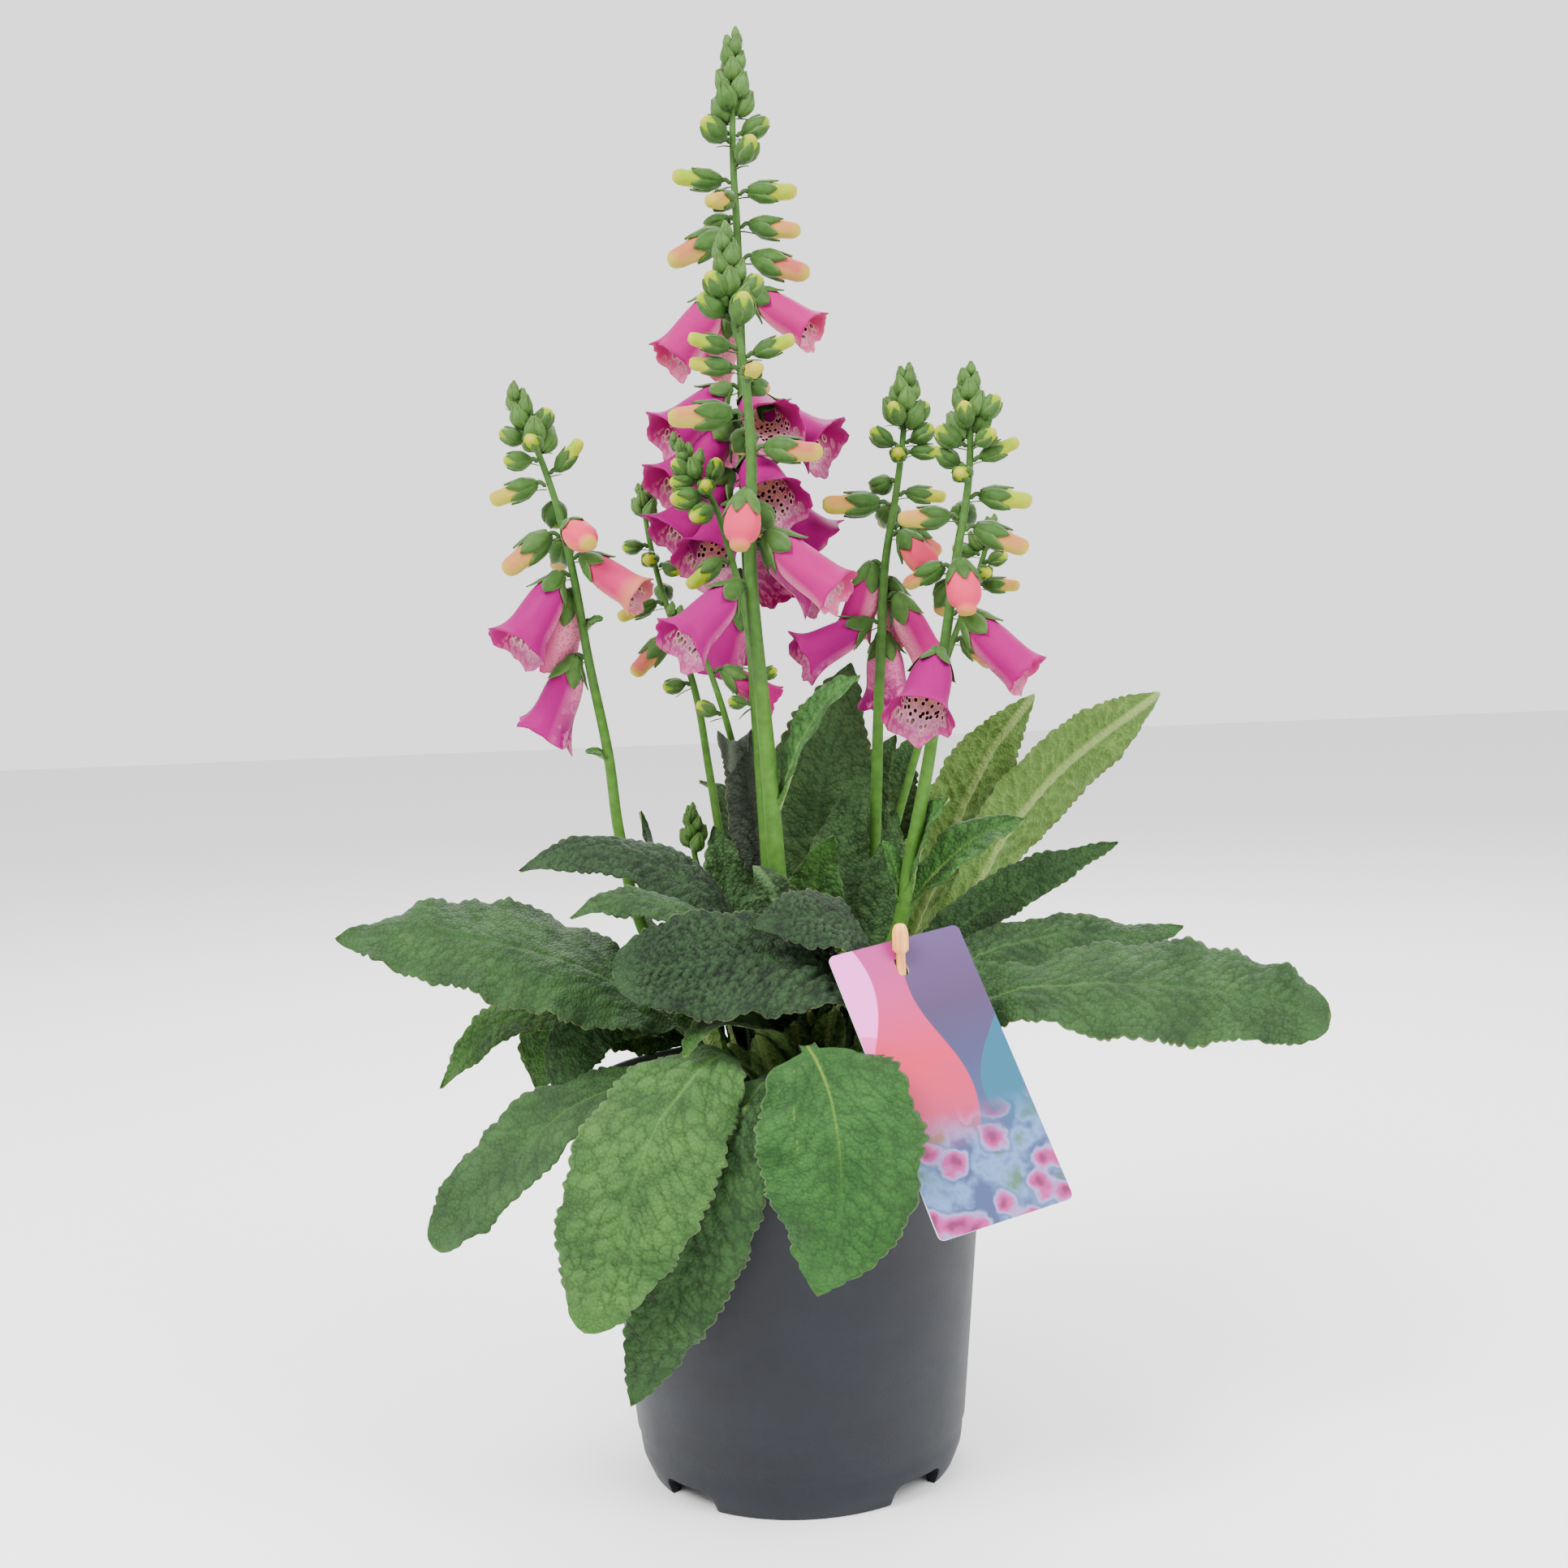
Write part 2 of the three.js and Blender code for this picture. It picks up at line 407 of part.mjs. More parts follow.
const SPIKES = {
  spike_tall: { thickness: 4, cluster: [609, 10, 33, 250],
    stem: [[2, 16, STALK_FOOT], [2, 17, 190], [-2, 24, 250], [-6, 32, 328], [-9, 38, 384], [-8.5, 43, 458],
      [-8, 45, 521], [-8.5, 45, 560], [-6.5, 45, 607]],
    florets: [
      ['green', 563, 215, 40], ['green', 567, 150, 48, 0.9], ['green', 566, 15, 32], ['green', 553, 310, 48],
      ['long', 546, 187, 6], ['long', 541, 355, -3], ['long', 537, 245, -12, 0.95], ['green', 531, 140, -12],
      ['long', 527, 350, -12, 1.05], ['long', 523, 200, -28, 1.3], ['long', 513, 345, -22, 1.25],
      ['opening', 499, 345, -24, 0.9], ['opening', 496, 75, -20], ['bell', 496, 196, -42, 0.85],
      ['bell', 466, 192, -34], ['bell', 458, 350, -26], ['bell', 453, 300, -30, 0.9], ['bell', 447, 105, -35],
      ['bell', 438, 218, -44], ['bell', 437, 290, -40], ['bell', 421, 183, -48], ['bell', 420, 22, -44],
      ['bell', 408, 228, -46], ['bell', 402, 70, -50], ['bell', 391, 0, -42, 0.95], ['bell', 378, 108, -56],
      ['bell', 364, 215, -74, 0.9],
    ] },
  spike_front: { thickness: 4.6, cluster: [512, 10, 32, 200],
    stem: [[4, -7, STALK_FOOT], [3, -10, 192], [-1, -19, 252], [-3, -25, 300], [-7, -30, 378], [-5, -30, 423],
      [-7, -30, 462], [-9.5, -29, 475], [-13, -28, 510]],
    florets: [
      ['green', 484, 225, 50, 0.9], ['green', 483, 350, 50, 0.9], ['green', 477, 195, 42, 0.95],
      ['green', 473, 290, 58], ['long', 464, 190, 14, 0.78], ['long', 461, 350, 18, 0.8], ['long', 456, 172, 10, 0.8],
      ['long', 453, 285, 0, 0.8], ['long', 450, 70, 0, 0.85], ['long', 438, 190, -3, 1.2],
      ['long', 424, 345, -9, 1.1], ['long', 430, 100, -10], ['blush', 411, 250, -68],
      ['long', 402, 75, -30, 1.1], ['opening', 388, 345, -34, 1.1], ['bell', 367, 202, -42],
    ],
    leaves: [[284, 350, 44, 66, 15]] },
  spike_left: { thickness: 3.2, cluster: [457, 7, 22, 120],
    stem: [[-20, 1, STALK_FOOT], [-31, 2, 186], [-58, 3, 227], [-67, 2, 270], [-70, 0, 304], [-76, -5, 344],
      [-80, -8, 377], [-85, -10, 405], [-92.5, -10, 430], [-103, -10, 455]],
    florets: [
      ['green', 433, 180, 22, 0.8], ['green', 437, 350, 60, 0.75], ['green', 430, 265, 15, 0.8],
      ['green', 425, 190, 0, 0.85], ['long', 420, 350, 48, 0.75], ['long', 415, 190, -20, 0.95],
      ['green', 408, 100, -48], ['blush', 398, 300, -25, 0.9], ['long', 394, 196, -38, 1.15],
      ['long', 392, 105, -30], ['opening', 385, 350, -28], ['bell', 380, 200, -48, 0.9],
      ['opening', 371, 135, -62], ['bell', 346, 215, -58, 0.9],
    ],
    leaves: [[358, 355, 9, 3, 5], [304, 200, 10, 2, 5]] },
  spike_right_inner: { thickness: 3.4, cluster: [461, 7, 21, 40],
    stem: [[26, 18, STALK_FOOT], [32, 19, 184], [41, 23, 260], [45, 25, 319], [47, 25, 345], [50, 25, 380],
      [55, 25, 406], [59, 25, 430], [62, 25, 459]],
    florets: [
      ['green', 437, 240, 58, 0.8], ['green', 438, 0, 54, 0.8], ['green', 429, 186, 38, 0.85],
      ['green', 430, 355, 34, 0.85], ['green', 424, 262, 4, 0.75], ['long', 425, 0, 0, 0.72],
      ['green', 414, 130, -10, 0.9], ['long', 408, 5, -8, 0.8], ['long', 404, 183, 0, 1.15],
      ['long', 402, 95, -15], ['long', 394, 22, -36], ['blush', 390, 318, -50, 0.85],
      ['opening', 379, 190, -66, 0.95], ['opening', 372, 80, -50, 0.95], ['opening', 365, 335, -54, 0.95],
      ['bell', 357, 190, -26, 0.84], ['bell', 349, 88, -72, 0.85],
    ] },
  spike_right_outer: { thickness: 3.8, cluster: [455, 8, 24, 300],
    stem: [[30, 2, STALK_FOOT], [32, 0, 186], [49, -8, 229], [54, -10, 255], [63, -12, 297], [72, -14, 350],
      [77.5, -15, 383], [82, -15, 405], [84, -15, 425], [84, -15, 453]],
    florets: [
      ['green', 434, 345, 50, 0.9], ['green', 432, 250, 60, 0.75], ['green', 424, 190, 38, 0.9],
      ['green', 424, 310, 24, 0.8], ['long', 418, 350, 22, 0.78], ['green', 416, 160, 38, 0.85],
      ['green', 412, 250, 0, 0.8], ['long', 403, 350, -10], ['long', 395, 190, -2], ['long', 398, 85, -10],
      ['long', 390, 350, -26, 1.1], ['blush', 377, 280, -66, 0.95], ['long', 375, 150, -22, 0.9],
      ['long', 368, 95, -30, 1.1], ['bell', 362, 350, -45, 0.95], ['bell', 347, 250, -54],
    ],
    leaves: [[240, 15, 54, 32, 13], [244, 345, 20, 40, 13], [238, 160, 8, 26, 7]] },
  spike_small_front: { thickness: 2.6, cluster: [434, 5, 14, 0],
    stem: [[-7, 2, STALK_FOOT], [-5, 3, 200], [-8, 0, 318], [-9.5, -2, 355], [-13, -3, 374], [-20.5, -4, 404],
      [-24, -5, 411], [-29, -5, 420], [-39, -5, 433]],
    florets: [
      ['green', 417, 200, 40, 0.7], ['green', 414, 195, 0, 0.75], ['green', 414, 330, 68, 0.75],
      ['green', 411, 270, 8, 0.7], ['green', 408, 205, -5], ['green', 403, 230, -22, 0.9],
      ['long', 381, 200, -36, 0.85], ['green', 333, 340, 20, 0.6], ['green', 322, 200, 10, 0.6],
    ] },
  spike_small_left: { thickness: 2.5, cluster: [420, 5, 12, 60],
    stem: [[-14, 19, STALK_FOOT], [-16, 24, 190], [-26, 40, 263], [-30, 48, 293], [-35, 54, 328], [-48, 57, 373],
      [-53, 58, 398], [-55, 58, 418]],
    florets: [
      ['green', 392, 185, -5, 0.7], ['green', 386, 260, -5, 0.75], ['green', 383, 330, -20, 0.75],
      ['long', 372, 90, -10, 0.8], ['long', 366, 190, -20, 0.85], ['long', 356, 60, -25, 0.85],
      ['green', 354, 240, -42, 0.8], ['long', 350, 200, -45, 1.05], ['green', 330, 190, -8, 0.75],
    ] },
  spike_small_middle: { thickness: 2.4, cluster: [365, 6, 12, 90],
    stem: [[-8, 22, STALK_FOOT], [-9, 25, 200], [-13, 27, 255], [-16, 17, 292], [-19, 9, 310], [-24, 4, 330],
      [-29, 4, 344], [-42, 4, 363]],
    florets: [['green', 347, 120, 20, 0.7], ['opening', 336, 18, -34, 0.8], ['green', 318, 200, 30, 0.7]] },
  spike_small_right: { thickness: 2.5, cluster: [398, 6, 10, 10],
    stem: [[34, 25, STALK_FOOT], [38, 26, 188], [48, 30, 255], [58, 33, 288], [79, 36, 346], [91, 37, 375],
      [98, 37, 396]],
    florets: [
      ['green', 382, 168, 20, 0.75], ['green', 378, 330, 20, 0.7], ['green', 374, 285, -5, 0.7],
      ['long', 372, 95, -10, 0.8], ['long', 368, 350, -4, 0.75], ['long', 345, 330, -44, 0.85],
    ] },
  shoot: { thickness: 2.4, cluster: [278, 7, 16, 0],
    stem: [[-14, 27, STALK_FOOT], [-21, 35, 200], [-30, 36, 234], [-37, 34, 255], [-38, 33, 276]],
    florets: [] },
};

function spikeGeometry({ thickness, cluster, stem, florets, leaves = [] }) {
  const rows = [...clusterRows(...cluster), ...florets];
  const pieces = [
    stemGeometry(stem, thickness),
    ...rows.map((row) => floretGeometry(stem, row)),
    ...leaves.map((leaf) => stemLeaf(leaf, stem)),
  ];
  return geometryOf(largestBody(joined(pieces.map(solidOf))));
}

// Label: a thin card with round corners, hung on the peg's neck by its slot

function labelMesh() {
  const { width, length, thickness, corner } = LABEL;
  const outline = new THREE.Shape();
  outline.moveTo(corner, 0);
  outline.absarc(width - corner, -corner, corner, Math.PI / 2, 0, true);
  outline.absarc(width - corner, corner - length, corner, 0, -Math.PI / 2, true);
  outline.absarc(corner, corner - length, corner, -Math.PI / 2, -Math.PI, true);
  outline.absarc(corner, -corner, corner, Math.PI, Math.PI / 2, true);
  const slot = new THREE.Path();
  const left = LABEL_SLOT.across - LABEL_SLOT.width / 2;
  const upper = -LABEL_SLOT.down + LABEL_SLOT.length / 2;
  slot.moveTo(left, upper);
  slot.lineTo(left, upper - LABEL_SLOT.length);
  slot.lineTo(left + LABEL_SLOT.width, upper - LABEL_SLOT.length);
  slot.lineTo(left + LABEL_SLOT.width, upper);
  outline.holes.push(slot);
  const card = new THREE.ExtrudeGeometry(outline, { depth: thickness, bevelEnabled: false, curveSegments: 3 });
  card.translate(-LABEL_SLOT.across, LABEL_SLOT.down, -thickness / 2);
  const rightward = vector(0.9, 0.4, 0.13).normalize();
  const downward = vector(0.52, -0.34, -0.82);
  downward.addScaledVector(rightward, -downward.dot(rightward)).normalize();
  const upward = downward.negate();
  const outward = vector(0, 0, 0).crossVectors(rightward, upward);
  const mesh = addNode('label', card, 0xb58cc8, 0.35);
  mesh.quaternion.setFromRotationMatrix(new THREE.Matrix4().makeBasis(rightward, upward, outward));
  mesh.position.set(PEG.x, PEG.y, PEG.slotHeight);
  return mesh;
}

// Peg: a round stake in the soil with a narrow neck for the label and a pointed head
function pegGeometry() {
  const { foot, slotHeight, neck, stake, head } = PEG;
  const profile = [
    [0, foot], [stake * 0.6, foot + 1], [stake, foot + 8], [stake, slotHeight - 8], [neck, slotHeight - 6.5],
    [neck, slotHeight + 9.5], [head, slotHeight + 10.5], [head, slotHeight + 16], [head * 0.55, slotHeight + 20.4],
    [0, slotHeight + 21],
  ].map(([radius, height]) => new THREE.Vector2(radius, height));
  const peg = new THREE.LatheGeometry(profile, 8);
  peg.rotateX(Math.PI / 2);
  peg.translate(PEG.x, PEG.y, 0);
  return geometryOf(solidOf(peg));
}

addNode('pot', potGeometry(), 0x474a52, 0.5);
addNode('soil', soilGeometry(), 0x33231a, 0.95);
for (const [name, leaf] of Object.entries({ ...LEAVES, ...backLeaves() })) {
  const path = leaf.path.map(([x, y, z = STALK_FOOT]) => [x, y, z]);
  addNode(name, leafGeometry({ ...leaf, path }), LEAF_GREEN, 0.7);
}
for (const [name, spike] of Object.entries(SPIKES)) {
  addNode(name, spikeGeometry(spike), name === 'shoot' ? GREEN : MAGENTA, 0.55);
}
labelMesh();
addNode('peg', pegGeometry(), 0xe3b98a, 0.6);

export default part;
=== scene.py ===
# %% [markdown]
# # A potted foxglove in Blender
# The real thing is one foxglove plant in a plain nursery pot: ten flower spikes and a rosette of
# wrinkled leaves that all grow from one crown in the soil, with a card label hung on a wooden peg.
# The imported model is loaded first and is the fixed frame: every piece below goes where the frame
# says, in metres, with +Z up and the front towards -Y. Measures are kept in millimetres, as a
# grower or a pot maker would give them, and turned to metres in one place.

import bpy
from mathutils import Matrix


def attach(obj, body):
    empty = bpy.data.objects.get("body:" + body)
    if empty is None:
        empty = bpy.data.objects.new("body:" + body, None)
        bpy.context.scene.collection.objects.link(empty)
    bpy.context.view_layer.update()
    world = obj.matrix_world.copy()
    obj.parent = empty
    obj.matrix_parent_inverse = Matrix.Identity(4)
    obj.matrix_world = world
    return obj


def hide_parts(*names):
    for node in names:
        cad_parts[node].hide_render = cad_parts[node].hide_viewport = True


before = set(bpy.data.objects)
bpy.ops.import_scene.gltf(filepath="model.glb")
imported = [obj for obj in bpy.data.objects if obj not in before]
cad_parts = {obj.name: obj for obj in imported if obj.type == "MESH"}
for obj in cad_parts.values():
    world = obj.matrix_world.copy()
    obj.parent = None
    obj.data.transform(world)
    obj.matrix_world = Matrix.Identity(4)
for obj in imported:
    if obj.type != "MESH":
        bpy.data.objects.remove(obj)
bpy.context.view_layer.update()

# %% Libraries and the one unit change
import math
import random
from functools import partial

import bmesh
import bpy
import numpy as np
from mathutils import Matrix, Vector, noise

MM = 0.001
scene = bpy.context.scene

# %% [markdown]
# ## Camera, floor and light
# The plant was photographed from a little above the middle of its height, about 80 cm away, with
# the camera tipped 4 degrees down and turned 2 degrees about its own axis. The camera comes first,
# so that every later piece can be looked at from the same place. The floor is one large pale sheet
# and the light is soft and even from above and from both sides, as in a product studio, because a
# hard light would hide the wrinkles of the leaves in black shadows.

# %% Camera
CAMERA_PLACE = Vector((3, -820, 349)) * MM
CAMERA_TILT_DOWN = 4.2
CAMERA_TURN = 2.22
CAMERA_LENS = 45.04

camera_data = bpy.data.cameras.new("studio_camera")
camera_data.sensor_width = 36
camera_data.lens = CAMERA_LENS
camera = bpy.data.objects.new("studio_camera", camera_data)
scene.collection.objects.link(camera)
looking = Matrix.Rotation(math.radians(90 - CAMERA_TILT_DOWN), 4, "X")
turned = Matrix.Rotation(math.radians(-CAMERA_TURN), 4, "Z")
camera.matrix_world = Matrix.Translation(CAMERA_PLACE) @ looking @ turned
scene.camera = camera
print("camera stands", round(CAMERA_PLACE.length, 3), "m from the pot's foot")

# %% [markdown]
# ## Colours, nodes and layers
# A colour picked from a screen is an sRGB code, while the shader counts in linear light, so one
# function turns the one into the other. A second fills the inputs of a node, and a third adds any
# node with its settings. A finish is then painted in layers: each is a colour laid over the last
# one, as strongly as its masks say.

# %% Colour and node helpers
# What a node hands on where no output is named, and the three inputs of a colour mix
USUAL_OUTPUT = {"ShaderNodeAttribute": "Vector", "ShaderNodeTexCoord": "Object", "ShaderNodeMix": 2}
MIX_SHARE, MIX_BELOW, MIX_ABOVE = 0, 6, 7


def linear_colour(code):
    shares = [int(code[at:at + 2], 16) / 255 for at in (1, 3, 5)]
    linear = [share / 12.92 if share <= 0.04045 else ((share + 0.055) / 1.055) ** 2.4 for share in shares]
    return (*linear, 1.0)


def fill_inputs(node, inputs):
    """An input takes a node, one output of a node, a colour code or a plain value"""
    for name, value in inputs.items():
        if isinstance(value, bpy.types.Node):
            value = value.outputs[USUAL_OUTPUT.get(value.bl_idname, 0)]
        if isinstance(value, bpy.types.NodeSocket):
            node.id_data.links.new(value, node.inputs[name])
        else:
            node.inputs[name].default_value = linear_colour(value) if isinstance(value, str) else value


def add_node(tree, kind, inputs=None, stops=None, **settings):
    node = tree.nodes.new("ShaderNode" + kind)
    for name, value in settings.items():
        setattr(node, name, value)
    fill_inputs(node, inputs or {})
    if stops:
        ramp = node.color_ramp
        while len(ramp.elements) < len(stops):
            ramp.elements.new(0.5)
        for element, (place, code) in zip(ramp.elements, stops):
            element.position = place
            element.color = linear_colour(code)
    return node


def start_finish(name, **look):
    """The look names sockets of the shader, with _ for a space"""
    material = bpy.data.materials.new(name)
    material.use_nodes = True
    shader = material.node_tree.nodes["Principled BSDF"]
    fill_inputs(shader, {socket.replace("_", " "): value for socket, value in look.items()})
    return material, shader, partial(add_node, material.node_tree)


def paint(add, colour, masks, layers):
    """Lay colours over a colour, each as strongly as the product of the masks that it names.
    A mask is a node, an output, or a ramp: a value, where it starts and ends, and its strength at
    both places, which is 0 and 1 unless given"""
    ready = {}
    for name, mask in masks.items():
        if isinstance(mask, tuple):
            value, start, end, *strengths = mask
            first, last = strengths or (0, 1)
            mask = add("MapRange", {"Value": value, "From Min": start, "From Max": end,
                                    "To Min": first, "To Max": last})
        ready[name] = mask
    for names, laid in layers.items():
        strength, *others = [ready[name] for name in names.split()]
        for other in others:
            strength = add("Math", {0: strength, 1: other}, operation="MULTIPLY")
        colour = add("Mix", {MIX_SHARE: strength, MIX_BELOW: colour, MIX_ABOVE: laid}, data_type="RGBA")
    return colour


def mesh_object(name, bm, materials=()):
    data = bpy.data.meshes.new(name)
    bm.to_mesh(data)
    bm.free()
    for material in materials:
        data.materials.append(material)
    made = bpy.data.objects.new(name, data)
    scene.collection.objects.link(made)
    return made


# %% Floor and backdrop
floor_bm = bmesh.new()
bmesh.ops.create_grid(floor_bm, x_segments=2, y_segments=2, size=6)
studio_paper = start_finish("pale_studio_paper", Base_Color="#f6f6f6", Roughness=0.9, IOR=1.45)[0]
floor = mesh_object("studio_floor", floor_bm, [studio_paper])

world = bpy.data.worlds.new("studio_surround")
world.use_nodes = True
add_to_world = partial(add_node, world.node_tree)
facing = add_to_world("SeparateXYZ", {"Vector": add_to_world("TexCoord").outputs["Generated"]})
glow = add_to_world("MapRange", {"Value": facing.outputs["Y"], "From Min": -0.9, "From Max": 0.2,
                                 "To Min": 0.9, "To Max": 1.9})
fill_inputs(world.node_tree.nodes["Background"], {"Color": "#fbfbfb", "Strength": glow})
scene.world = world

# %% Lamps
LAMPS_AIM = Vector((0, 0, 0.28))
LAMPS = {
    "lamp_above_left": {"place": (-0.9, -1.0, 1.7), "size": 1.0, "watts": 80},
    "lamp_above_right": {"place": (1.1, -0.9, 1.3), "size": 0.9, "watts": 38},
    "lamp_behind": {"place": (0.2, 1.2, 1.5), "size": 1.2, "watts": 30},
}
for name, lamp in LAMPS.items():
    lamp_data = bpy.data.lights.new(name, "AREA")
    lamp_data.energy = lamp["watts"]
    lamp_data.size = lamp["size"]
    lamp_object = bpy.data.objects.new(name, lamp_data)
    scene.collection.objects.link(lamp_object)
    lamp_object.location = lamp["place"]
    aim = LAMPS_AIM - lamp_object.location
    lamp_object.rotation_euler = aim.to_track_quat("-Z", "Y").to_euler()
print("lamps:", list(LAMPS))

# %% [markdown]
# ## Two ways to make a shape
# Nearly everything on a plant is a sheet wrapped round a line: a stem is a long one, a bud is a
# short one closed at both ends, a bell is open at one end, and a leaf is one pressed flat. So one
# helper lays a flat grid and lets a rule place each of its points, then sews the two long edges
# and any end that has shrunk to a point. Another helper draws an even, smooth line through a few
# chosen points, and both the ribs of the leaves and the outlines of the bells come from it.

# %% Smooth line and wrapped sheet
SHORTEST_STEP = 1e-6
FINE_STEPS = 24
# Points closer than this, in metres, are sewn together
SEWN_WITHIN = 2e-6


def smooth_line(points, count):
    """Evenly spaced points on a smooth line, the direction at each of them, and the line's length"""
    given = np.array(points, float)
    padded = np.vstack([2 * given[0] - given[1], given, 2 * given[-1] - given[-2]])
    pieces = []
    for k in range(1, len(padded) - 2):
        before, start, end, after = padded[k - 1:k + 3]
        step_in, step, step_out = (max(np.linalg.norm(gap), SHORTEST_STEP) ** 0.5
                                   for gap in (start - before, end - start, after - end))
        leave = (start - before) / step_in - (end - before) / (step_in + step) + (end - start) / step
        arrive = (end - start) / step - (after - start) / (step + step_out) + (after - end) / step_out
        t = np.linspace(0, 1, FINE_STEPS, endpoint=False)[:, None]
        piece = (2 * t ** 3 - 3 * t ** 2 + 1) * start + (3 * t ** 2 - 2 * t ** 3) * end
        piece += (t ** 3 - 2 * t ** 2 + t) * leave * step + (t ** 3 - t ** 2) * arrive * step
        pieces.append(piece)
    fine = np.vstack([*pieces, given[-1:]])
    walked = np.concatenate([[0], np.cumsum(np.linalg.norm(np.diff(fine, axis=0), axis=1))])
    even = np.linspace(0, walked[-1], count)
    line = np.column_stack([np.interp(even, walked, fine[:, axis]) for axis in range(fine.shape[1])])
    ahead = np.gradient(line, axis=0)
    ahead /= np.linalg.norm(ahead, axis=1)[:, None]
    return line, ahead, walked[-1]


def wrapped_sheet(bm, along_steps, around_steps, place_point):
    """The rule is told how far along and how far round a point lies, each from 0 to 1"""
    sheet = bmesh.ops.create_grid(bm, x_segments=along_steps, y_segments=around_steps, size=0.5)
    for vert in sheet["verts"]:
        place_point(vert, vert.co.x + 0.5, vert.co.y + 0.5)
    faces = {face for vert in sheet["verts"] for face in vert.link_faces}
    bmesh.ops.remove_doubles(bm, verts=sheet["verts"], dist=SEWN_WITHIN)
    return [face for face in faces if face.is_valid]


def on_skin(a):
    """The first half of the way round is the outer skin, from edge to edge (-1 to 1), and the second
    half leads back along the inner skin"""
    return (True, 4 * a - 1) if a <= 0.5 else (False, 3 - 4 * a)


def level_way(degrees):
    """A level direction: 0 is +X and 90 is +Y"""
    return Vector((math.cos(math.radians(degrees)), math.sin(math.radians(degrees)), 0))


def bell_curve(distance, width):
    return math.exp(-(distance / width) ** 2)


def bmesh_with(*layers):
    bm = bmesh.new()
    for layer in layers:
        bm.verts.layers.float_vector.new(layer)
    return bm


def finish_piece(name, bm, nodes, materials):
    for face in bm.faces:
        face.smooth = True
    piece = mesh_object(name, bm, materials)
    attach(piece, "root")
    if nodes:
        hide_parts(*nodes)
    return piece


test_length = smooth_line([(0, 0), (10, 0), (10, 10)], 5)[2]
print("a bent 20 mm line is", round(test_length, 1), "mm long when it is smooth")

# %% [markdown]
# ## Pot
# A nursery pot is injection moulded from recycled polypropylene: a thin tapered wall, a small step
# above the foot, a rolled rim, and slots in the foot ring that let water out. A moulded pot is a
# turned shape, so its outline is drawn once as a row of points and spun round. The drain slots are
# cut afterwards with four rounded blocks, as the mould's own inserts leave them.

# %% Pot outline and spin
POT_HEIGHT = 165
POT_RIM_RADIUS = 85
POT_BASE_RADIUS = 68.5
POT_WALL = 1.6
POT_FLOOR = 10
POT_SPIN_STEPS = 128
FOOT_COUNT = 4
NOTCH_WIDTH = 27
NOTCH_HEIGHT = 9

pot_skirt = POT_BASE_RADIUS - 4
pot_inner = POT_RIM_RADIUS - 2.8
POT_OUTLINE = [
    (0, 0.4), (12.4, 0.4), (13, 1), (14.5, 7), (pot_skirt - 5, 7.6), (pot_skirt - 4.5, 0.8),
    (pot_skirt - 3.9, 0), (pot_skirt - 0.7, 0), (pot_skirt, 0.9), (POT_BASE_RADIUS - 2.4, 4.6),
    (POT_BASE_RADIUS - 0.6, 9), (POT_BASE_RADIUS + 0.2, 14), (POT_BASE_RADIUS + 0.7, 19.7),
    (POT_BASE_RADIUS + 1.5, 20.5), (POT_BASE_RADIUS + 6.4, 72), (POT_RIM_RADIUS - 1.7, POT_HEIGHT - 5.2),
    (POT_RIM_RADIUS - 0.4, POT_HEIGHT - 4.6), (POT_RIM_RADIUS, POT_HEIGHT - 4),
    (POT_RIM_RADIUS, POT_HEIGHT - 1), (POT_RIM_RADIUS - 0.4, POT_HEIGHT - 0.2),
    (POT_RIM_RADIUS - 1.1, POT_HEIGHT), (pot_inner + 0.4, POT_HEIGHT - 0.2), (pot_inner, POT_HEIGHT - 0.8),
    (POT_BASE_RADIUS - POT_WALL - 1, POT_FLOOR + 6), (POT_BASE_RADIUS - 4, POT_FLOOR + 1.5),
    (POT_BASE_RADIUS - 7, POT_FLOOR), (0, POT_FLOOR),
]


def spun(bm, outline, steps, centre=(0, 0)):
    """A turned shape is a sheet wrapped round an upright line"""
    last = len(outline) - 1

    def place_point(vert, s, a):
        radius, height = outline[round(s * last)]
        vert.co = (Vector((*centre, height)) + level_way(360 * a) * radius) * MM

    wrapped_sheet(bm, last, steps, place_point)
    bmesh.ops.recalc_face_normals(bm, faces=bm.faces)


pot_bm = bmesh.new()
spun(pot_bm, POT_OUTLINE, POT_SPIN_STEPS)
print("pot spun with", len(pot_bm.faces), "faces")

# %% [markdown]
# ## Pot plastic
# Recycled polypropylene from a spark-eroded mould is a dull slate grey with a faint grain. Its
# gloss is low and wide, it shows soft swirls where the melt flowed round the wall, and handling
# leaves pale scuffs and a dusting of dry peat near the rim and the foot.

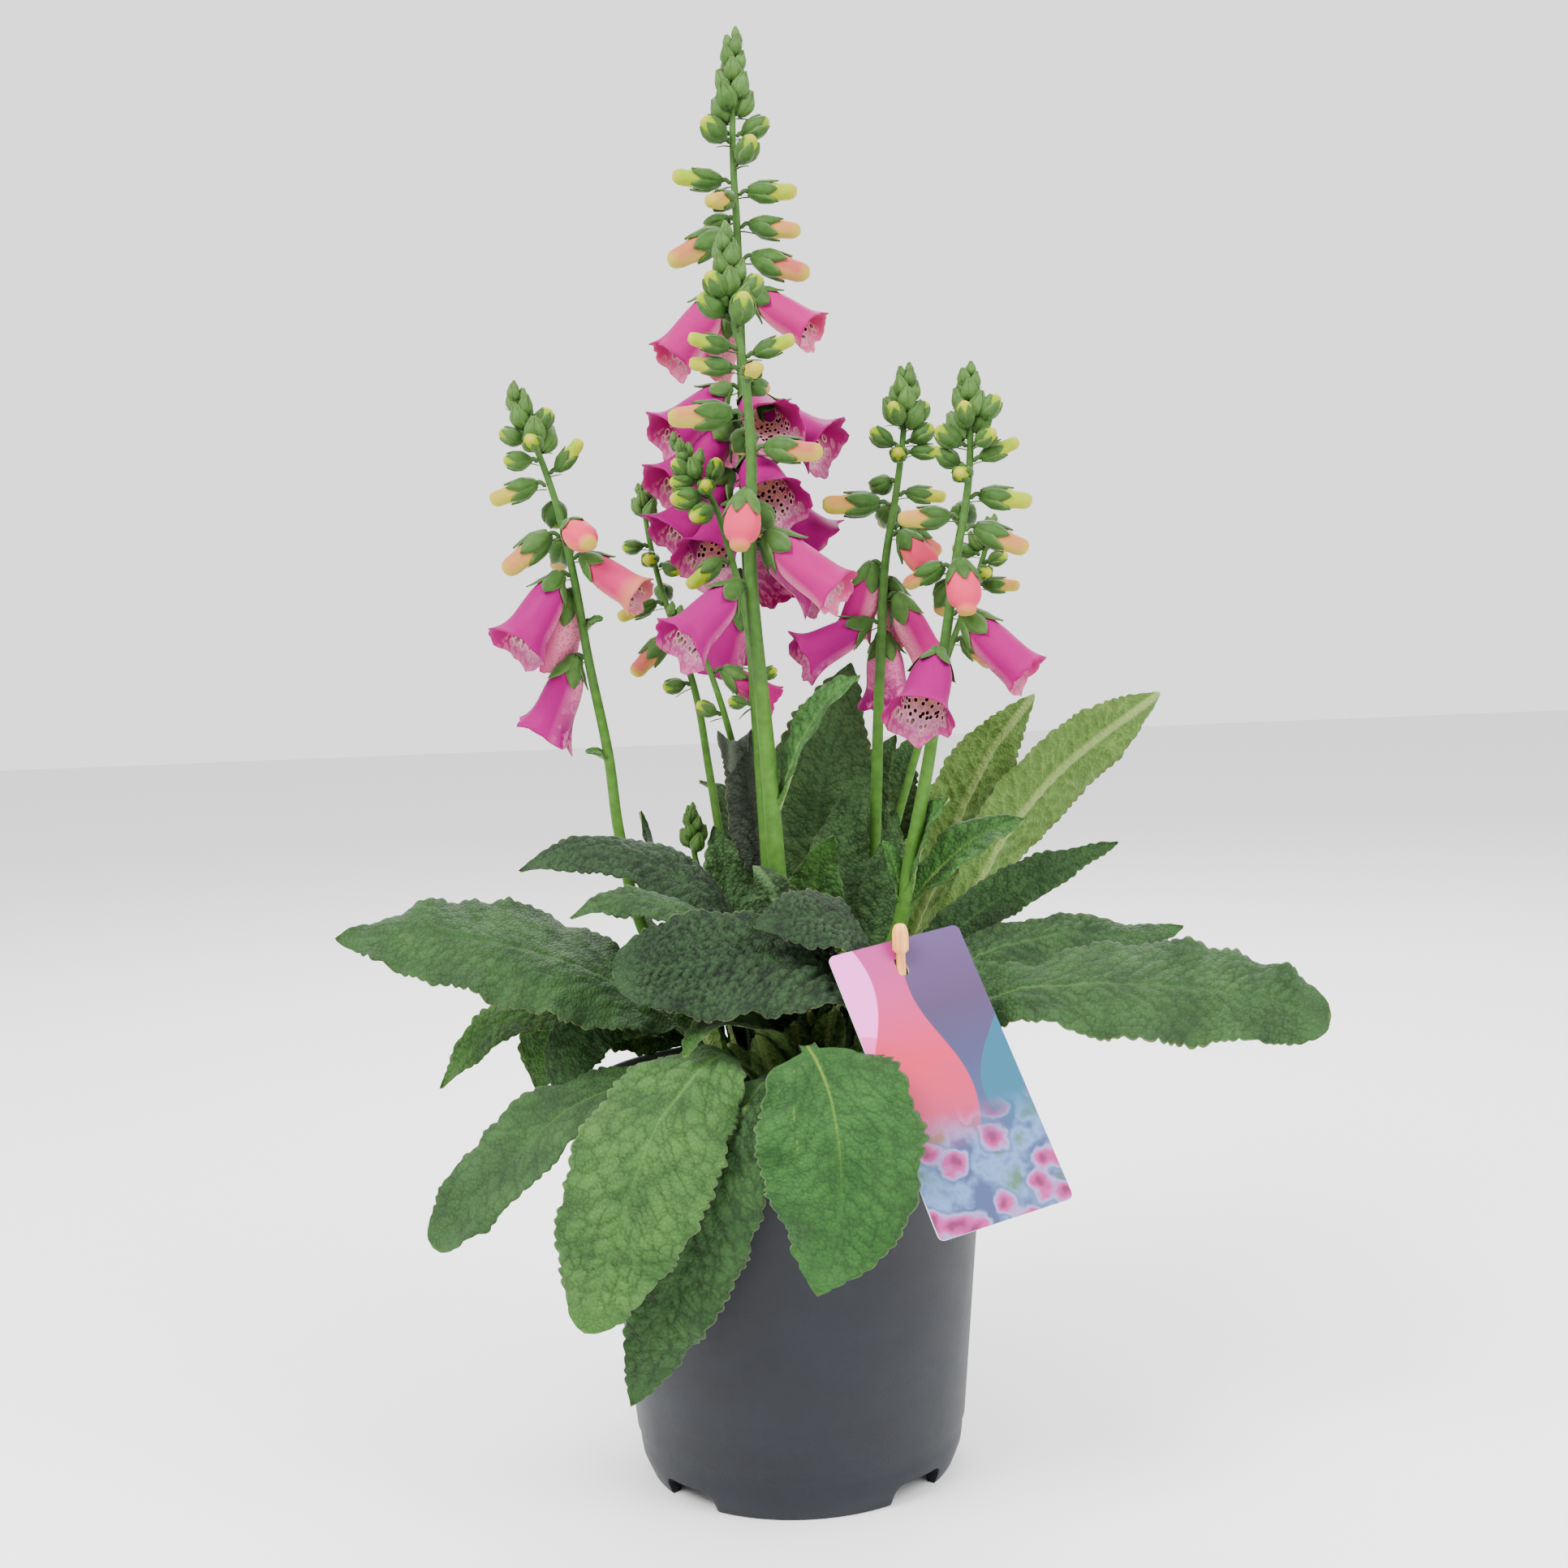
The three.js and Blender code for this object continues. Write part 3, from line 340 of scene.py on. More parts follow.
# %% Pot finish
def pot_finish():
    material, shader, add = start_finish("moulded_recycled_polypropylene", Roughness=0.5, IOR=1.49,
                                         Specular_IOR_Level=0.3)
    place = add("TexCoord")
    height = add("SeparateXYZ", {"Vector": place}).outputs["Z"]
    flow = add("Mapping", {"Vector": place, "Scale": (1, 1, 3.2)})
    swirl = add("TexNoise", {"Vector": flow, "Scale": 14, "Detail": 4, "Distortion": 0.6})
    slate = add("ValToRGB", {"Fac": swirl}, stops=[(0.3, "#0c0f16"), (0.7, "#11151e")])
    scuff = add("TexNoise", {"Vector": place, "Scale": 160, "Detail": 6, "Roughness": 0.7})
    dust = add("TexNoise", {"Vector": place, "Scale": 55, "Detail": 8, "Roughness": 0.75})
    soiled = paint(add, slate,
                   {"scuff": (scuff, 0.63, 0.78, 0, 0.35), "near_rim": (height, 0.135, 0.166, 0, 0.5),
                    "dust": (dust, 0.5, 0.68)},
                   {"scuff": "#202328", "near_rim dust": "#2a2018"})
    # The mould's grain is about 0.4 mm, drawn at 0.6 mm so that it still shows
    grain = add("TexNoise", {"Vector": place, "Scale": 1600, "Detail": 2})
    ripple = add("Math", {0: grain, 1: swirl}, operation="ADD")
    bump = add("Bump", {"Height": ripple, "Strength": 0.25, "Distance": 0.0004})
    dull = add("MapRange", {"Value": dust, "To Min": 0.42, "To Max": 0.62})
    fill_inputs(shader, {"Base Color": soiled, "Normal": bump, "Roughness": dull})
    return material


# %% Cut the drain slots and place the pot
NOTCH_DEPTH = 18
NOTCH_CORNER = 4.5
MOULDED_EDGE = 0.5

pot = finish_piece("moulded_pot", pot_bm, ["pot"], [pot_finish()])
cutters = []
for foot in range(FOOT_COUNT):
    block_bm = bmesh.new()
    bmesh.ops.create_cube(block_bm, size=1)
    block_size = Vector((NOTCH_DEPTH, NOTCH_WIDTH, 2 * NOTCH_HEIGHT)) * MM
    bmesh.ops.scale(block_bm, verts=block_bm.verts, vec=block_size)
    radial = [edge for edge in block_bm.edges if abs((edge.verts[0].co - edge.verts[1].co).x) > 0.01
              and edge.verts[0].co.z > 0]
    bmesh.ops.bevel(block_bm, geom=radial, offset=NOTCH_CORNER * MM, offset_type="OFFSET", segments=6,
                    profile=0.5, affect="EDGES", material=-1)
    bmesh.ops.translate(block_bm, verts=block_bm.verts, vec=((POT_BASE_RADIUS - 2) * MM, 0, 0))
    turn = Matrix.Rotation(math.radians(45 + foot * 360 / FOOT_COUNT), 3, "Z")
    bmesh.ops.rotate(block_bm, verts=block_bm.verts, matrix=turn)
    cutters.append(mesh_object("slot_block", block_bm))
    cut = pot.modifiers.new("slot", "BOOLEAN")
    cut.object = cutters[-1]
    cut.operation = "DIFFERENCE"

bpy.context.view_layer.update()
cut_mesh = bpy.data.meshes.new_from_object(pot.evaluated_get(bpy.context.evaluated_depsgraph_get()))
pot.modifiers.clear()
pot.data = cut_mesh
for block in cutters:
    bpy.data.objects.remove(block)
softened = pot.modifiers.new("moulded_edges", "BEVEL")
softened.width = MOULDED_EDGE * MM
softened.segments = 2
softened.limit_method = "ANGLE"
softened.angle_limit = math.radians(50)
print("pot after cutting:", len(pot.data.polygons), "faces")

# %% [markdown]
# ## Soil
# Potting soil is dark peat with coarse crumbs and straw-like fibres, heaped a little round the
# crown. The surface is a round sheet whose height comes from layered noise. Crumbs and fibres are
# strewn on it from a fixed seed, so they are the same each time. A repeated crumb has only twenty
# faces, because hundreds of them are made.

# %% Soil sheet
CROWN = {"x": 8, "y": 3, "radius": 46, "surface": 163}
SOIL_RADIUS = 81.4
SOIL_STEPS = 110


def soil_height(x, y):
    away = math.hypot(x, y) / SOIL_RADIUS
    rough = noise.noise(Vector((x, y, 0)) * 0.09) * 1.1 + noise.noise(Vector((x, y, 7)) * 0.35) * 0.7
    return CROWN["surface"] + 1.2 * (1 - away ** 4) - 2.6 * away ** 8 + rough


soil_bm = bmesh.new()
bmesh.ops.create_grid(soil_bm, x_segments=SOIL_STEPS, y_segments=SOIL_STEPS, size=1)
for vert in soil_bm.verts:
    square = max(abs(vert.co.x), abs(vert.co.y))
    flat = Vector((vert.co.x, vert.co.y))
    if square > 0:
        flat = flat.normalized() * square * SOIL_RADIUS
    vert.co = Vector((flat.x, flat.y, soil_height(flat.x, flat.y))) * MM
print("soil sheet has", len(soil_bm.faces), "faces")

# %% Crumbs and fibres
CRUMB_COUNT = 1500
FIBRE_COUNT = 170
FIBRE_RADIUS = 0.22
# A direction that no stem follows. The ring of a tube starts square to it
ASIDE = np.array([0.31, 0.92, 0.13])
strewn = random.Random(11)


def tube(bm, points, radius_at, sides, steps):
    line, ahead, _ = smooth_line(points, steps + 1)

    def place_point(vert, s, a):
        k = round(s * steps)
        side = np.cross(ASIDE, ahead[k])
        side /= np.linalg.norm(side)
        upward = np.cross(ahead[k], side)
        angle = math.tau * a
        radius = 0 if k in (0, steps) else radius_at(s)
        vert.co = Vector(line[k] + radius * (upward * math.cos(angle) + side * math.sin(angle))) * MM

    return wrapped_sheet(bm, steps, sides, place_point)


def strewn_spot():
    direction = strewn.uniform(0, math.tau)
    distance = SOIL_RADIUS * 0.975 * math.sqrt(strewn.random())
    return distance * math.cos(direction), distance * math.sin(direction)


crumb_bm = bmesh.new()
for _ in range(CRUMB_COUNT):
    x, y = strewn_spot()
    radius = strewn.choice((0.5, 0.7, 0.9, 1.3, 1.9))
    spot = Vector((x, y, soil_height(x, y) + radius * 0.3)) * MM
    lump = bmesh.ops.create_icosphere(crumb_bm, subdivisions=1, radius=radius * MM,
                                      matrix=Matrix.Translation(spot))
    for vert in lump["verts"]:
        vert.co += (vert.co - spot) * strewn.uniform(-0.35, 0.45)
for _ in range(FIBRE_COUNT):
    x, y = strewn_spot()
    heading = strewn.uniform(0, math.tau)
    length = strewn.uniform(5, 15)
    points = []
    for share in (0, 0.5, 1):
        fx = x + length * share * math.cos(heading) + strewn.uniform(-1.5, 1.5)
        fy = y + length * share * math.sin(heading) + strewn.uniform(-1.5, 1.5)
        if math.hypot(fx, fy) < SOIL_RADIUS - 1:
            points.append((fx, fy, soil_height(fx, fy) + 0.5))
    if len(points) == 3:
        tube(crumb_bm, points, lambda s: FIBRE_RADIUS, 4, 6)
ROOT_STRAND = [(-60, -28, 164), (-71, -33.5, 166.5), (-77.4, -37, 167.2), (-79.2, -38, 160),
               (-77.6, -38.4, 149), (-80, -39, 137)]
tube(crumb_bm, ROOT_STRAND, lambda s: 0.5 - 0.25 * s, 6, 24)
print("crumbs and fibres have", len(crumb_bm.faces), "faces")


# %% [markdown]
# ## Peat
# Moist peat swallows light: nearly black-brown hollows, a warmer brown on the crumbs that have
# dried, no gloss at all. Its colour follows the crumb size of 2 to 6 mm.

# %% Peat finishes
SOIL_DEPTH = 12


def peat_finish(name, dark, dry, crumb_scale):
    material, shader, add = start_finish(name, Roughness=0.95, IOR=1.4, Specular_IOR_Level=0.2)
    place = add("TexCoord")
    clods = add("TexVoronoi", {"Vector": place, "Scale": crumb_scale})
    specks = add("TexNoise", {"Vector": place, "Scale": 700, "Detail": 5})
    mixed = add("Math", {0: clods.outputs["Color"], 1: specks}, operation="MULTIPLY")
    tint = add("ValToRGB", {"Fac": mixed}, stops=[(0.05, dark), (0.42, dry)])
    rough = add("TexNoise", {"Vector": place, "Scale": 420, "Detail": 6, "Roughness": 0.7})
    bump = add("Bump", {"Height": rough, "Strength": 1, "Distance": 0.0015})
    fill_inputs(shader, {"Base Color": tint, "Normal": bump})
    return material


soil = finish_piece("peat_surface", soil_bm, ["soil"],
                    [peat_finish("moist_peat", "#0c0705", "#2e1d13", 260)])
depth = soil.modifiers.new("soil_depth", "SOLIDIFY")
depth.thickness = SOIL_DEPTH * MM
depth.offset = -1
finish_piece("peat_crumbs", crumb_bm, ["soil"],
             [peat_finish("dry_peat_crumbs", "#140c07", "#4a3120", 180)])

# %% [markdown]
# ## Leaves
# A foxglove leaf is a soft, felted blade on a channelled stalk. Veins sink into its upper side and
# the skin between them puffs up, so it looks quilted, and the net stands out on the pale underside.
# The edge is cut into small round teeth and waves up and down. Each leaf is one sheet wrapped round
# its rib and pressed flat: the first half of the way round is the upper side and the second half is
# the underside, so the blade is closed and has its own thickness. Where a leaf stands, how it bends
# and how wide it is are the chosen measures of the part's source, some of them corrected by a few
# millimetres since.

# %% Leaf measures
# In mm and degrees. lean is the level direction that the leaf bends towards (0 is +X, 90 is +Y), roll
# turns the blade about its rib and curl lifts its edges. The path starts at the height of the stalk's
# foot where it gives none. The other measures are those of a usual leaf unless given: stations sets
# how often it waves, stalk is the stalk's share of the length, net the coarseness of its veins,
# quilted how far the skin puffs up, broadest and tip the outline of the blade.
STALK_FOOT = 150.3
USUAL_LEAF = {"stations": 9, "stalk": 0.26, "net": 1, "quilted": 0.8, "broadest": 0.8, "tip": 0.2}


def leaf_shape(width, lean, roll, curl, path, **special):
    return {**USUAL_LEAF, "width": width, "lean": lean, "roll": roll, "curl": curl, "path": path, **special}


LEAVES = {
    "leaf_left_1": leaf_shape(60, 193, -42, -0.12, [(-20, -10), (-26, -12, 172), (-56, -22, 203),
        (-88, -30, 222), (-119, -38, 233), (-150, -42, 237), (-179, -42, 237)], stations=12, net=1.2,
        quilted=0.4),
    "leaf_left_2": leaf_shape(32, 190, -42, -0.1, [(-13, -9), (-14, -11, 190), (-24, -12, 236),
        (-47, -20, 256), (-73, -26, 266), (-92, -29, 265), (-106, -30, 260)]),
    "leaf_left_3": leaf_shape(26, 205, -35, -0.2, [(-8, -20), (-10, -27, 190), (-22, -39, 225),
        (-37, -48, 242), (-56, -55, 250), (-72, -58, 249), (-83, -60, 244)]),
    "leaf_left_4": leaf_shape(24, 170, 0, 0.2, [(-22, 14), (-26, 16, 176), (-44, 20, 208), (-57, 20, 226),
        (-67, 20, 237), (-75, 20, 243)]),
    "leaf_left_5": leaf_shape(30, 178, -46, 0.15, [(-28, 8), (-33, 8, 172), (-64, 8, 190), (-91, 6, 198),
        (-113, 4, 195), (-132, 2, 183), (-148, 0, 165)]),
    "leaf_left_6": leaf_shape(40, 175, -78, -0.1, [(-28, 16), (-33, 20, 172), (-62, 21, 190),
        (-86, 18, 195), (-102, 14, 184), (-108, 12, 158)], net=1.2, quilted=0.7),
    "leaf_left_7": leaf_shape(27, 196, -60, -0.1, [(-28, -4), (-33, -6, 171), (-54, -14, 195),
        (-76, -21, 198), (-88, -28, 185), (-91, -33, 163)], stations=10, broadest=1.4),
    "leaf_left_8": leaf_shape(40, 210, -22, 0.1, [(-22, -18), (-26, -22, 170), (-43, -32, 176),
        (-66, -46, 175), (-89, -60, 167), (-115, -72, 146), (-139, -80, 121)], net=1.4, quilted=0.35,
        broadest=1.35, tip=-0.15),
    "leaf_front_1": leaf_shape(58, 230, -26, -0.12, [(-8, -28), (-11, -35, 171), (-26, -62, 188),
        (-49, -91, 169), (-65, -104, 134), (-79, -108, 95)], stations=12, net=1.5, quilted=0.55,
        broadest=1, tip=-0.05),
    "leaf_front_2": leaf_shape(44, 245, -12, -0.08, [(0, -30), (-1, -37, 171), (-10, -67, 178),
        (-24, -92, 160), (-46, -94, 106), (-65, -87, 58)], net=1.3, quilted=0.7),
    "leaf_front_3": leaf_shape(62, 272, 10, -0.1, [(12, -28), (11, -38, 172), (8, -74, 194),
        (16, -104, 178), (18, -115, 145), (8, -112, 107)], stations=12, stalk=0.42, net=1.3, quilted=0.4),
    "leaf_front_4": leaf_shape(50, 250, -58, -0.06, [(20, -16), (28, -27, 190), (27, -43, 214),
        (6, -59, 223), (-20, -67, 226), (-46, -71, 225), (-66, -72, 223)], stations=12, net=0.9,
        quilted=1.2, broadest=1.1, tip=-0.15),
    "leaf_front_5": leaf_shape(42, 225, -50, -0.06, [(29, -19), (38, -27, 188), (37, -35, 217),
        (25, -46, 234), (8, -62, 241), (-11, -73, 240)], net=0.9, quilted=1.1),
    "leaf_front_6": leaf_shape(22, 215, -20, 0.3, [(4, -24), (1, -32, 176), (-12, -51, 196),
        (-30, -67, 201), (-40, -76, 191)], stations=8),
    "leaf_front_7": leaf_shape(18, 300, 0, 0.1, [(22, -28), (25, -38, 172), (32, -54, 186),
        (37, -62, 186)], stations=8),
    "leaf_right_1": leaf_shape(54, 347, 42, -0.1, [(38, -8), (46, -12, 170), (64, -24, 192),
        (94, -34, 204), (141, -42, 206), (185, -46, 201), (218, -46, 191)], stations=12, net=1.1,
        quilted=0.5, broadest=1.2, tip=-0.2),
    "leaf_right_2": leaf_shape(34, 0, 40, -0.18, [(40, 0), (46, 0, 174), (61, 0, 200), (82, 0, 213),
        (115, 2, 220), (149, 3, 219), (170, 3, 222)]),
    "leaf_right_3": leaf_shape(24, 8, 52, 0.12, [(42, 11), (47, 14, 174), (62, 24, 205), (82, 31, 224),
        (104, 34, 237), (129, 36, 248), (149, 37, 255)]),
    "leaf_right_4": leaf_shape(34, 15, -95, 0.12, [(41, 19), (46, 27, 176), (62, 44, 206), (83, 52, 230),
        (103, 57, 260), (130, 61, 288), (174, 64, 319)], net=1.1, quilted=0.45, broadest=1.3),
    "leaf_right_5": leaf_shape(42, 25, -105, 0.08, [(29, 31), (36, 39, 178), (56, 62, 210), (72, 73, 241),
        (86, 79, 272), (101, 82, 297), (120, 84, 320)], stations=12, net=1.3, quilted=0.5),
    "leaf_crown_1": leaf_shape(56, 88, -6, 0.06, [(10, 24), (10, 30, 180), (12, 40, 206), (15, 46, 240),
        (18, 50, 275), (25, 54, 309), (35, 54, 338)], stations=12, quilted=0.5),
    "leaf_crown_2": leaf_shape(32, 80, 0, 0.15, [(16, 12), (18, 14, 180), (20, 16, 212), (24, 18, 246),
        (30, 20, 271), (34, 18, 288)]),
    "leaf_crown_3": leaf_shape(32, 80, 10, 0.35, [(12, -3), (10, -2, 180), (9, -1, 211), (13, -1, 238),
        (17, -3, 256), (23, -7, 267)], stations=10),
    "leaf_crown_4": leaf_shape(24, 120, 0, -0.15, [(-3, 9), (-4, 8, 180), (-7, 8, 240), (-10, 8, 280),
        (-14, 6, 303), (-18, 0, 307), (-19, -5, 294)], stations=11, stalk=0.55),
    "leaf_crown_5": leaf_shape(30, 100, 0, 0.1, [(-14, 10), (-16, 12, 180), (-20, 17, 213),
        (-23, 19, 238), (-25, 19, 256), (-28, 17, 271)]),
    "leaf_crown_6": leaf_shape(26, 150, -20, 0.05, [(-7, 32), (-9, 40, 180), (-15, 52, 230),
        (-20, 57, 262), (-26, 59, 282), (-35, 57, 288)]),
    "leaf_crown_7": leaf_shape(32, 285, 0, -0.06, [(12, -12), (9, -17, 180), (4, -24, 209), (0, -30, 232),
        (-4, -33, 249), (-11, -34, 259)]),
    "leaf_crown_8": leaf_shape(22, 75, 0, 0.1, [(27, 9), (29, 8, 180), (36, 5, 208), (42, 4, 234),
        (47, 4, 258), (50, 3, 275)]),
    "leaf_crown_9": leaf_shape(34, 70, 12, 0.1, [(18, 29), (22, 38, 180), (31, 52, 208), (35, 60, 250),
        (39, 61, 280), (54, 56, 305)]),
    "leaf_crown_10": leaf_shape(32, 60, 20, 0.1, [(24, 34), (29, 43, 180), (40, 72, 208), (50, 88, 250),
        (57, 91, 284), (64, 88, 304)]),
    "leaf_crown_11": leaf_shape(22, 160, 0, 0.1, [(-21, 23), (-23, 25, 180), (-37, 33, 218),
        (-53, 37, 249), (-60, 38, 277)], stations=8),
}
BACK_TIERS = {
    "low": {"leans": [80, 110, 142], "reach": 152, "top": 206, "drop": 50, "width": 50},
    "high": {"leans": [90], "reach": 106, "top": 258, "drop": 6, "width": 40},
}
BACK_FOOT = 40
for tier_name, tier in BACK_TIERS.items():
    for k, lean in enumerate(tier["leans"]):
        outward = level_way(lean)
        top = tier["top"]
        path = []
        for share, height in ((0, STALK_FOOT), (0.04, 174), (0.34, (top + 174) / 2 + 12), (0.64, top),
                              (0.84, top - tier["drop"] * 0.3), (1, top - tier["drop"])):
            distance = BACK_FOOT + (tier["reach"] - BACK_FOOT) * share
            path.append([CROWN["x"] + distance * outward.x, CROWN["y"] + distance * outward.y, height])
        LEAVES[f"leaf_back_{tier_name}_{k + 1}"] = leaf_shape(tier["width"], lean, 0, -0.08, path)
print("leaves:", len(LEAVES))


# %% Relief of a blade
def blade_relief(along, across, place, half, seed, net, quilted):
    """Height of the skin in mm, and how close the point is to a vein (0 to 1)"""
    spacing = (5.4 + half * 0.14) * (0.5 + 0.5 * net)
    cell = 4.4 * net
    slant = abs(across) * (1.25 - 0.45 * place * place)
    wander = noise.noise(Vector((along / 14, across / 14, seed + 5)))
    at = (along - slant) / spacing + (0.5 if across > 0 else 0) + seed + 0.25 * wander
    from_vein = abs(at - round(at)) * spacing
    vein = bell_curve(from_vein, 0.7) * min(1, abs(across) / 2) * (1 - place ** 6)
    near = noise.voronoi(Vector(((along - 0.5 * slant) / cell, across / cell + 0.5 * wander, seed)))[0]
    from_border = min(1, (near[1] - near[0]) / 0.36)
    puff = from_border * from_border * (3 - 2 * from_border)
    border = (1 - min(1, from_border * 1.5)) * min(1, abs(across) / 1.5)
    pillow = math.sin(math.pi * at) ** 2
    roll_over = noise.noise(Vector((along / 18, across / 18, seed)))
    size = min(1, half / 18)
    height = size * quilted * (1.3 * puff + 0.8 * pillow * (1 - 0.5 * place ** 4)) + 1.3 * roll_over
    height = height * min(1, half / 9) - 0.8 * bell_curve(across, 1.3) * size
    return height, max(vein, 0.9 * border) * (0.5 + 0.5 * min(1, quilted))


# %% Leaf builder
BLADE_STEP = 0.95
BLADE_THICKNESS = 0.5
TOOTH = 4.6
STALK_HALF_WIDTH = 3.2
RIB_AT_FOOT = 3
RIB_AT_TIP = 1.4


def grow_leaf(bm, leaf, seed):
    place_layer = bm.verts.layers.float_vector["blade"]
    state_layer = bm.verts.layers.float_vector["blade_state"]
    width, stalk, tip, broadest = (leaf[key] for key in ("width", "stalk", "tip", "broadest"))
    swing = leaf["stations"] - 1
    points = [(*point, STALK_FOOT)[:3] for point in leaf["path"]]
    length = smooth_line(points, 20)[2]
    along_steps = round(length / BLADE_STEP)
    across_steps = max(12, 2 * round(width / BLADE_STEP / 2.3))
    line, ahead, length = smooth_line(points, along_steps + 1)
    lean = math.radians(leaf["lean"])
    across_way = Vector((-math.sin(lean), math.cos(lean), 0))
    roll = math.radians(leaf["roll"])
    rows = []
    for k in range(along_steps + 1):
        u = k / along_steps
        along = Vector(ahead[k]) if k else Vector((0, 0, 1))
        side = (across_way - along * across_way.dot(along)).normalized()
        side.rotate(Matrix.Rotation(roll * (0.6 + 0.4 * u) * min(1, u * 8), 3, along))
        upward = along.cross(side)
        v = max(0, (u - stalk) / (1 - stalk))
        fullness = 0.72 - 0.12 * broadest + tip * v ** 3
        blade_half = width / 2 * max(0, math.sin(math.pi * v ** broadest)) ** fullness
        half = max(blade_half, STALK_HALF_WIDTH * (1 - 0.8 * v))
        rib = RIB_AT_FOOT + (RIB_AT_TIP - RIB_AT_FOOT) * min(1, u * 1.6)
        rows.append((Vector(line[k]), side, upward, v, half, rib, u))

    def place_point(vert, s, a):
        k = round(s * along_steps)
        centre, side, upward, v, half, rib, u = rows[k]
        upper, place = on_skin(a)
        if k in (0, along_steps):
            vert.co = centre * MM
            vert[place_layer] = (u * length, 0, u)
            vert[state_layer] = (0.5, 0, abs(place))
            return
        blade = min(1, v * 12) * min(1, (1 - u) * 14)
        uneven = noise.noise(Vector((u * length / 9, seed, round(place))))
        beat = noise.noise(Vector((u * length / 15, seed * 4, round(place) * 2)))
        tooth = abs(math.sin(math.pi * u * length / TOOTH + seed + 3.4 * beat)) ** 0.8 - 0.45
        tooth *= 1 + 1.1 * uneven
        reach = half * (1 + 0.06 * noise.noise(Vector((u * length / 24, seed * 3, round(place)))) * blade)
        reach += (0.6 + width / 55) * (tooth + 1.1 * uneven) * blade * place ** 8
        across = place * reach
        wave = 0.04 * width * math.cos(math.pi * u * swing) * place * abs(place)
        ruffle = noise.noise(Vector((u * length / 10, seed * 2, round(place) * 3)))
        wave += (0.8 + 0.045 * width) * ruffle * place ** 2
        lift = leaf["curl"] * reach * abs(place) ** 1.4 + wave * blade
        relief, vein = blade_relief(u * length, across, place, half, seed, leaf["net"], leaf["quilted"])
        lift += relief * blade * (1 - 0.7 * place ** 8)
        channel = (1 - blade) * 1.3 * (1 - place * place) * min(1, u * 20)
        if upper:
            lift -= channel
        else:
            thick = BLADE_THICKNESS + (rib - BLADE_THICKNESS) * bell_curve(across, 0.5 + rib * 0.55)
            thick += 0.35 * vein * blade
            round_stalk = rib * math.sqrt(max(0, 1 - place * place)) + 0.3
            lift -= blade * thick * (1 - 0.6 * place ** 10) + (1 - blade) * round_stalk
        if abs(place) > 0.999:
            lift -= 0.25
        vert.co = (centre + side * across + upward * lift) * MM
        vert[place_layer] = (u * length, across, u)
        vert[state_layer] = (0.0 if upper else 1.0, vein * blade, abs(place) ** 2 * blade)

    return wrapped_sheet(bm, along_steps, across_steps * 2, place_point)


# %% [markdown]
# ## Leaf skin
# The upper side is deep green and dull under short hairs, with a fine net of grooves, darkened by
# painted shade, whose cells are 2 to 3 mm wide, and a pale midrib. The underside is much paler and
# its net is raised. The hairs are too fine to model, so a sheen on the shader stands for them, and
# the edge, where they are seen from the side, is drawn as a pale rim that is partly their own pale
# colour and partly painted sheen.

# %% Leaf finish
# Pale green of the hairs, also used for the painted sheen on the leaf rim
HAIR_AND_RIM_SHEEN = "#6f8258"


